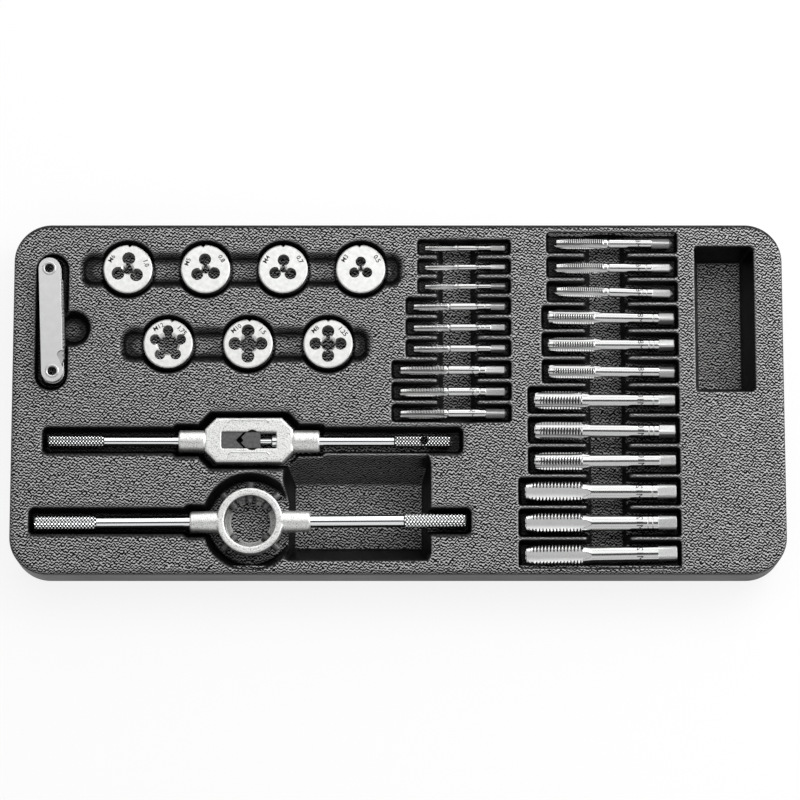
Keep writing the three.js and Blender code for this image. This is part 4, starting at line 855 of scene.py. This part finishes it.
def cast_zinc(name, dark, light):
    """Zinc die casting: finely lumpy, with darker specks of dirt in its pores. A darker copy of it is
    painted shade inside the die stock's ring."""
    material, shader = finish(name, light, Metallic=1.0, Roughness=0.5)
    tree = material.node_tree
    place = add(tree, "ShaderNodeTexCoord").outputs["Object"]
    lumps, specks = [
        add(
            tree, "ShaderNodeTexNoise", [("Vector", place)], Scale=1 / (size * MM), Detail=detail
        ).outputs["Fac"]
        for size, detail in ((0.9, 4.0), (0.55, 2.0))
    ]
    pores = add(tree, "ShaderNodeMapRange", [("Value", specks)], From_Min=0.28, From_Max=0.5)
    tone = add(tree, "ShaderNodeMix", [("Factor", pores.outputs[0])], data_type="RGBA")
    tone.inputs[6].default_value, tone.inputs[7].default_value = linear(dark), linear(light)
    tree.links.new(tone.outputs[2], shader.inputs["Base Color"])
    rough = add(tree, "ShaderNodeMapRange", [("Value", lumps)], To_Min=0.58, To_Max=0.42)
    tree.links.new(rough.outputs[0], shader.inputs["Roughness"])
    bump = add(tree, "ShaderNodeBump", [("Height", lumps)], Strength=0.7, Distance=0.16 * MM)
    tree.links.new(bump.outputs["Normal"], shader.inputs["Normal"])
    return material


def knurled_handle(stem, start, end, radius, diamonds, spacing):
    """A handle along +X: the stem's (x, radius) pairs, then a grip with a diamond knurl, so many
    diamonds round and one for each spacing along."""
    around = np.arange(8 * diamonds) / (8 * diamonds)
    along = [x for x, _ in stem] + list(np.arange(start, end, spacing / 8)) + [end]
    along = np.array(along)[:, None]
    lines = [triangle_wave(along / spacing + side * around * diamonds) for side in (1, -1)]
    pits = 1 - np.clip(np.minimum(*lines) / 0.85, 0, 1)
    ends = radius - 0.7 + np.minimum(along - start, end - along)
    skin = np.minimum(radius * (1 - PIT_SHARE * pits), ends)
    skin[: len(stem)] = np.array([[radius] for _, radius in stem])
    return round_skin(along, skin, 2 * math.pi * around[None, :])


def paint_pit_shade(handle, centre, bearing, grip):
    """Gives the low faces of a knurl a dark finish, painted shade in the pits."""
    handle.data.materials.append(root_shade_finish)
    turn, shade_below = math.radians(bearing), (1 - 0.7 * PIT_SHARE) * grip[2]
    for face in handle.data.polygons:
        x, y, z = np.array(face.center) / MM - centre
        along = x * math.cos(turn) + y * math.sin(turn)
        off = y * math.cos(turn) - x * math.sin(turn)
        face.material_index = int(along > grip[0] + 0.1 and math.hypot(off, z) < shade_below)


def thread_profile(start, end, radius, pitch, depth):
    """A turned thread as (x, radius) pairs; its grooves run round instead of climbing, which a
    grip this small hides."""
    steps = np.arange(start, end, pitch / 6)
    return [(x, radius - depth * abs(2 * ((x / pitch) % 1) - 1)) for x in steps]


zinc = cast_zinc("zinc_die_cast_tumbled", "#949593", "#e0e1df")
# Hardened steel blackened in hot salt: dark grey and dull, rubbed a little paler in clouds.
oxide = mottled(
    "hardened_steel_black_oxide", "#3f3f3f", "#767675", 1.4, 5.0, (0.48, 0.48), press=(0.5, 0.05)
)
# Steel turned, polished and chromed: near mirror, with faint rings from the lathe.
chrome = mottled(
    "steel_bright_chrome", "#e4e6e7", "#e4e6e7", 9, 4.0, (0.05, 0.12),
    scratch=(0.2, 16.7, 16.7, 2.0), press=(0.15, 0.006),
)
octagon_plan = [
    (side * x, side * y)
    for side in (1, -1)
    for x, y in ((22.7, -5.7), (22.7, 5.7), (16.9, 11.6), (-16.9, 11.6))
]
bulge = [
    (1.6 + 4.1 * math.cos(turn), 5.4 * math.sin(turn)) for turn in np.radians(range(0, 360, 12))
]
block_of_wrench = plate(octagon_plan, -5, 5, 0.8)
bosses = [
    turned(bar([(17, 4.4), (21.6, 4.6), (23.4, 5.7), (35.6, 5.7), (36.3, 5)], 72), bearing)
    for bearing in (0, 180)
]
window, guides = [
    [(WINDOW_LEFT - 0.3, -half), (WINDOW_RIGHT, -half), (WINDOW_RIGHT, half), (WINDOW_LEFT - 0.3, half)]
    for half in (4.4, 5.7)
]
points, faces = machined(
    [block_of_wrench] + bosses,
    [
        plate(window, -7, 7), plate(bulge, -7.1, 7.1), plate(guides, -1.5, 1.5),
        bar([(12, 3.3), (40, 3.3)], 48), turned(bar([(12, 2.85), (40, 2.85)], 48), 180),
    ],
    cast=True,
)
piece("wrench_casting", points + WRENCH, faces, zinc, "tap_wrench", "wrench_body", slot="cast_zinc")

# Two raised frames, cast on the body's face above and below the window.
frames = []
for level, ends in ((10.3, 8.9), (-6.4, -7.8)):
    middle = [(x, level) for x in np.linspace(-9.2, 9.2, 24)]
    path = [(-10.4, ends), (-10.1, level - 0.5)] + middle + [(10.1, level - 0.5), (10.4, ends)]
    path = np.array(path)
    ahead = np.gradient(path, axis=0)
    beside = np.column_stack([-ahead[:, 1], ahead[:, 0]]) / np.linalg.norm(ahead, axis=1)[:, None]
    rings = []
    for (x, y), (side_x, side_y) in zip(path, beside):
        turn = np.radians(range(0, 360, 45))
        width = 0.42 * np.cos(turn)
        z = 4.97 + 0.5 * np.sin(turn)
        rings.append(np.column_stack([x + width * side_x, y + width * side_y, z]))
    last = 8 * (len(rings) - 1)
    caps = [list(range(7, -1, -1)), list(range(last, last + 8))]
    frames.append((np.concatenate(rings), strip(rings) + caps))
points, faces = joined(*frames)
piece("wrench_raised_frames", points + WRENCH, faces, zinc, "tap_wrench", slot="cast_zinc")

tongues = [(-13.9, -5.4), (-5, -5.4), (-5, 5.4), (-13.9, 5.4)]
vee = [(-13.9, -4.1), (-2.9, -4.1), (-2.9, -4), (-6.8, 0), (-2.9, 4), (-2.9, 4.1), (-13.9, 4.1)]
throat = plate([(-6.8, 0), (-2.8, -4.1), (-2.8, 4.1)], -6, 6)
points, faces = machined(
    [plate(vee, -JAW_TOP, JAW_TOP, 0.04), plate(tongues, -1.2, 1.2, 0.1)], [throat]
)
piece(
    "wrench_vee_jaw", points + WRENCH, faces, oxide, "tap_wrench", "wrench_fixed_jaw",
    slot="dark_steel", crease=28,
)
nose = [
    (-2.9, 0), (-4, -1.5), (-1.4, -4.1), (5.8, -4.1), (5.8, 4.1), (-1.4, 4.1), (-4, 1.5),
]
tongues = [(-1, -5.4), (5.8, -5.4), (5.8, 5.4), (-1, 5.4)]
head_room = [turned(bar([(2.1, 2.5), (4.1, 2.5)], 32)), bar([(4, 1.7), (6.5, 1.7)], 32)]
points, faces = machined(
    [plate(nose, -JAW_TOP, JAW_TOP, 0.12), plate(tongues, -1.2, 1.2, 0.1)], head_room
)
piece(
    "wrench_sliding_jaw", points + WRENCH, faces, oxide, "wrench_moving_jaw", "wrench_moving_jaw",
    slot="dark_steel", crease=28,
)

stem = [(26.3, 2.3), (26.7, ROD_RADIUS), (74.68, ROD_RADIUS)]
points, faces = turned(knurled_handle(stem, *WRENCH_GRIP), 180)
handle = piece(
    "wrench_plain_handle", points + WRENCH, faces, chrome, "tap_wrench", "wrench_fixed_handle",
    slot="chromed_steel", crease=24,
)
paint_pit_shade(handle, WRENCH, 180, WRENCH_GRIP)
stem = [(2.3, 1.9), (2.6, 2.3), (3.6, 2.3), (3.9, 1.5), (11.4, 1.5), (11.5, 2.5), (12, 3), (14.6, 3)]
stem += thread_profile(15, 35.5, 3, 1.0, 0.5) + [(35.6, 2.9), (36.3, ROD_RADIUS), (74.68, ROD_RADIUS)]
cross_hole = turned(bar([(-5, 2.1), (5, 2.1)], 40), upright=True)
flare = turned(bar([(2.6, 1.9), (3.8, 3.3)], 40), upright=True)
cuts = [(shape[0] + (90.3, 0, 0), shape[1]) for shape in (cross_hole, flare)]
cuts.append((cuts[1][0] * (1, 1, -1), [face[::-1] for face in cuts[1][1]]))
points, faces = machined([knurled_handle(stem, *WRENCH_GRIP)], cuts)
handle = piece(
    "wrench_clamp_handle", points + WRENCH, faces, chrome, "wrench_screw_handle",
    "wrench_screw_handle", slot="chromed_steel", crease=24,
)
paint_pit_shade(handle, WRENCH, 0, WRENCH_GRIP)

# Die stock
# The holder that turns a round die: a zinc die-cast ring with a ledge under the die, two knurled
# chromed handles pressed into its bosses, and five slotted set screws that hold and close the die.
STOCK = np.array([-76.0, -63.8, 21.0])
STOCK_SLANT = 0.35
SCREW_BEARINGS = (45, 90, 135, 225, 315)
RING_RADIUS = 17.0
RING_HALF = 5.7
DIE_SEAT = 13.2
STOCK_GRIP = (78.9, 111.1, 3.9, 10, 1.77)

ring = [(-RING_HALF, 16.4), (-5.1, RING_RADIUS), (5.1, RING_RADIUS), (RING_HALF, 16.4)]
ring = turned(bar(ring, 120), upright=True)
bosses = [turned(bar([(15, 5.7), (30.2, 5.45), (31, 4.8)], 72), bearing) for bearing in (0, 180)]
cuts = [
    turned(bar([(-3.7, DIE_SEAT), (5.1, DIE_SEAT), (6.3, DIE_SEAT + 1.2)], 120), upright=True),
    turned(bar([(-8, 10), (8, 10)], 120), upright=True),
]
for bearing in SCREW_BEARINGS:
    cuts.append(turned(plate([(7, -2.5), (DIE_SEAT, -2.5), (DIE_SEAT, 2.5), (7, 2.5)], -7, 5), bearing))
    cuts.append(turned(bar([(12, 2.45), (19, 2.45)], 40), bearing))
points, faces = machined([ring] + bosses, cuts, cast=True)
points, faces = turned((points, faces), STOCK_SLANT)
stock = piece("stock_casting", points + STOCK, faces, zinc, "die_stock", "stock_ring", slot="cast_zinc")
# a darker copy of the zinc, painted shade on the faces inside the die seat and bore
stock.data.materials.append(cast_zinc("zinc_die_cast_painted_shade", "#4c4d4c", "#a3a4a2"))
for face in stock.data.polygons:
    x, y, z = np.array(face.center) / MM - STOCK
    face.material_index = int(math.hypot(x, y) < DIE_SEAT + 0.4 and z < RING_HALF - 0.9)

stem = [(21, 2.9), (21.4, 3.3), (78.88, 3.3)]
for side, bearing in (("right", STOCK_SLANT), ("left", 180 + STOCK_SLANT)):
    points, faces = turned(knurled_handle(stem, *STOCK_GRIP), bearing)
    handle = piece(
        f"stock_grip_{side}", points + STOCK, faces, chrome, "die_stock", f"stock_{side}_handle",
        slot="chromed_steel", crease=24,
    )
    paint_pit_shade(handle, STOCK, bearing, STOCK_GRIP)

# Set screws, zinc plated and gone dull: mid grey with darker clouds.
screw_finish = mottled("steel_dull_zinc_plate", "#505150", "#9c9d9c", 0.8, 4.0, (0.45, 0.45))
screw = [(9.6, 0.5), (10.8, 1.9)] + thread_profile(11, 19.8, 2.2, 0.7, 0.36)
screw += [(19.9, 2.1), (20.4, 1.7)]
slot = plate([(19.5, -3), (21, -3), (21, 3), (19.5, 3)], -0.45, 0.45)
for number, bearing in enumerate(SCREW_BEARINGS, 1):
    points, faces = turned(machined([bar(screw, 40)], [slot]), bearing + STOCK_SLANT)
    piece(
        f"stock_grub_screw_{number}", points + STOCK, faces, screw_finish, f"stock_set_screw_{number}",
        f"stock_set_screw_{number}", slot="dark_steel", crease=24,
    )

# Thread gauge
# A pocket thread gauge: eight toothed steel leaves between two sheet covers, which turn on two
# hollow rivets; the front cover has a notch for a fingernail.
GAUGE_RIVET = np.array([-180.33, 66.98])
GAUGE_SLANT = 2.4
RIVET_SPACING = 54.0
COVER_HALF = 5.6
LEAF_PITCHES = (0.5, 0.7, 0.8, 1.0, 1.25, 1.5, 1.75, 2.0)


def arc(x, y, radius, start, end, steps):
    """Points of an arc in plan from one bearing to another."""
    return [
        (x + radius * math.cos(turn), y + radius * math.sin(turn))
        for turn in np.radians(np.linspace(start, end, steps + 1))
    ]


def in_gauge(shape, flipped=False):
    """Places a shape drawn from a rivet at the origin, with +Y toward the other rivet; the flipped
    leaves hang on the lower rivet."""
    points, faces = shape
    if flipped:
        points = np.column_stack([-points[:, 0], RIVET_SPACING - points[:, 1], points[:, 2]])
    points, faces = turned((points, faces), 180 + GAUGE_SLANT)
    return points + (*GAUGE_RIVET, 0), faces


# Cold rolled steel strip, brushed along its length and left bare: faint clouds between two greys.
# the leaves' darker greys are painted shade along their edges between the covers
strip_steel, shaded_leaf_steel = [
    mottled(name, dark, light, 4, 5.0, (0.3, 0.44), scratch=(0.1, 25, 1, 3.0), press=(0.3, 0.01))
    for name, dark, light in (
        ("steel_strip_cold_rolled", "#aeafae", "#c6c7c6"),
        ("spring_steel_leaf_rolled", "#858685", "#b2b3b2"),
    )
]
cover = arc(0, 0, COVER_HALF, 180, 360, 24) + arc(0, RIVET_SPACING, COVER_HALF, 0, 180, 24)
nail_notch = [(-7, 43.2), (-COVER_HALF, 43.2)]
nail_notch += [(x - COVER_HALF, y) for x, y in [
    (2.9 * math.sin(turn), 45.8 - 2.6 * math.cos(turn)) for turn in np.radians(range(15, 91, 15))
]]
nail_notch += [(-COVER_HALF, 52.5), (-7, 52.5)]
rivet_hole = turned(bar([(20, 2.8), (40, 2.8)], 48), upright=True)
for name, z, notches in (("back", 26.85, []), ("front", 32.2, [nail_notch])):
    cuts = [(rivet_hole[0] + (0, y, 0), rivet_hole[1]) for y in (0, RIVET_SPACING)]
    cuts += [plate(notch, 20, 40) for notch in notches]
    points, faces = in_gauge(machined([plate(cover, z - 0.4, z + 0.4, 0.16)], cuts))
    piece(
        f"gauge_sheet_{name}", points, faces, strip_steel, "thread_gauge", f"gauge_{name}_cover",
        slot="sheet_steel", crease=28,
    )

# each rivet is a tube whose ends are rolled over into round rims
rim = [(2.25, 26.3), (2.25, 32.75)] + arc(2.95, 32.75, 0.7, 180, 0, 8)[1:] + [(3.2, 32.66), (2.7, 32.5)]
rim += [(2.7, 26.5), (3.2, 26.34), (3.65, 26.3)] + arc(2.95, 26.3, 0.7, 360, 180, 8)[1:-1]
rim = [(radius, 29.5 + (z - 29.5) * 0.92) for radius, z in rim]
turn = np.radians(np.arange(0, 360, 6))
for name, y in (("upper", 0), ("lower", RIVET_SPACING)):
    rings = [
        np.column_stack([radius * np.cos(turn), radius * np.sin(turn) + y, np.full(60, z)])
        for radius, z in rim
    ]
    total = 60 * len(rings)
    faces = [[corner % total for corner in quad][::-1] for quad in strip(rings + rings[:1])]
    points, faces = in_gauge((np.concatenate(rings), faces))
    piece(
        f"gauge_eyelet_{name}", points, faces, strip_steel, "thread_gauge", f"gauge_{name}_rivet",
        slot="sheet_steel",
    )

for number, pitch in enumerate(LEAF_PITCHES, 1):
    flipped = number % 2 == 0
    reach = 6.4 if flipped else 6.7
    teeth = [
        (reach - (0.6 * pitch if step % 2 else 0), 7 + 0.5 * pitch * step)
        for step in range(2 * int(34 / pitch) + 1)
    ]
    leaf = arc(0, 0, 4.7, 170, 350, 12) + [(4.9, 3.5)] + teeth + [(4.4, 42.5)]
    leaf += arc(0, 44.7, 3, 10, 180, 8)
    if not flipped:
        leaf = [(-x, y) for x, y in reversed(leaf)]
    z = 27.6 + 0.55 * (number - 1)
    hole = turned(bar([(20, 3), (40, 3)], 32), upright=True)
    points, faces = in_gauge(machined([plate(leaf, z - 0.2, z + 0.2)], [hole]), flipped)
    piece(
        f"gauge_blade_{number}", points, faces, shaded_leaf_steel, f"gauge_leaf_{number}",
        f"gauge_leaf_{number}", slot="sheet_steel", crease=28,
    )

# Floor, lights and camera
# A white studio table and walls under a dark ceiling, where wide softboxes hang with a gap for the
# camera; every bright tool shows that gap as one dark line along its top.
def seen_or_mirrored(tree):
    """1 for rays from the camera and for those that metal or glass send on, else 0."""
    path = add(tree, "ShaderNodeLightPath").outputs
    mirrored = add(
        tree, "ShaderNodeMath", [(0, path["Is Glossy Ray"]), (1, path["Is Transmission Ray"])],
        operation="MAXIMUM",
    )
    return add(
        tree, "ShaderNodeMath", [(0, path["Is Camera Ray"]), (1, mirrored.outputs[0])],
        operation="MAXIMUM",
    ).outputs[0]


floor_finish, floor_shader = finish("white_studio_table", "#f4f4f4", Roughness=0.9)
tree = floor_finish.node_tree
share = add(tree, "ShaderNodeMath", [(0, seen_or_mirrored(tree))], operation="MULTIPLY")
share.inputs[1].default_value = 0.85
glow = add(tree, "ShaderNodeEmission", Strength=1.0)
mix = add(
    tree, "ShaderNodeMixShader",
    [(0, share.outputs[0]), (1, floor_shader.outputs[0]), (2, glow.outputs[0])],
)
tree.links.new(mix.outputs[0], tree.nodes["Material Output"].inputs["Surface"])
floor_mesh = bpy.data.meshes.new("floor")
floor_mesh.from_pydata([(-4, -4, 0), (4, -4, 0), (4, 4, 0), (-4, 4, 0)], [], [(0, 1, 2, 3)])
floor_mesh.materials.append(floor_finish)
floor = bpy.data.objects.new("floor", floor_mesh)
bpy.context.scene.collection.objects.link(floor)

for name, centre, size, turn, radiance in (
    ("back_softbox", (0.2, 0.85, 1.35), (2.8, 1.5), (0, 0), 1.55),
    ("front_softbox", (0, -1.19, 1.25), (2.8, 1.25), (0, 0), 0.8),
    ("right_softbox", (1.8, 0.4, 0.8), (1.3, 1.8), (0, 62), 3.0),
    ("rear_softbox", (0.2, 2.0, 0.8), (2.8, 0.9), (-65, 0), 2.0),
    ("corner_softbox", (0.52, 0.42, 0.55), (0.4, 0.4), (-33, 38), 5.0),
):
    light = bpy.data.lights.new(name, "AREA")
    light.shape = "RECTANGLE"
    light.size, light.size_y = size
    light.energy = radiance * math.pi * size[0] * size[1]
    softbox = bpy.data.objects.new(name, light)
    softbox.location = centre
    softbox.rotation_euler = [math.radians(angle) for angle in (*turn, 0)]
    bpy.context.scene.collection.objects.link(softbox)

world = bpy.data.worlds.new("studio")
bpy.context.scene.world = world
world.use_nodes = True
background = world.node_tree.nodes["Background"]
background.inputs["Color"].default_value = (1, 1, 1, 1)
tree = world.node_tree
toward = add(tree, "ShaderNodeTexCoord").outputs["Generated"]
upward = add(tree, "ShaderNodeSeparateXYZ", [("Vector", toward)]).outputs["Z"]
wall = add(
    tree, "ShaderNodeMapRange", [("Value", upward)],
    From_Min=0.35, From_Max=0.7, To_Min=1.0, To_Max=0.1,
)
level = add(
    tree, "ShaderNodeMath", [(0, seen_or_mirrored(tree)), (1, wall.outputs[0])], operation="MULTIPLY"
)
dim = add(tree, "ShaderNodeMath", [(0, level.outputs[0])], operation="MAXIMUM")
dim.inputs[1].default_value = 0.1
tree.links.new(dim.outputs[0], background.inputs["Strength"])

bpy.context.scene.view_settings.view_transform = "Standard"
TILT = math.radians(9.5)
DISTANCE = 1.7
camera_data = bpy.data.cameras.new("camera")
camera_data.lens = 148.4
camera_data.sensor_width = 36
camera_data.shift_x, camera_data.shift_y = 0.0024, -0.003
camera = bpy.data.objects.new("camera", camera_data)
camera.location = (0, -DISTANCE * math.sin(TILT), TOP * MM + DISTANCE * math.cos(TILT))
camera.rotation_euler = (TILT, 0, 0)
bpy.context.scene.collection.objects.link(camera)
bpy.context.scene.camera = camera
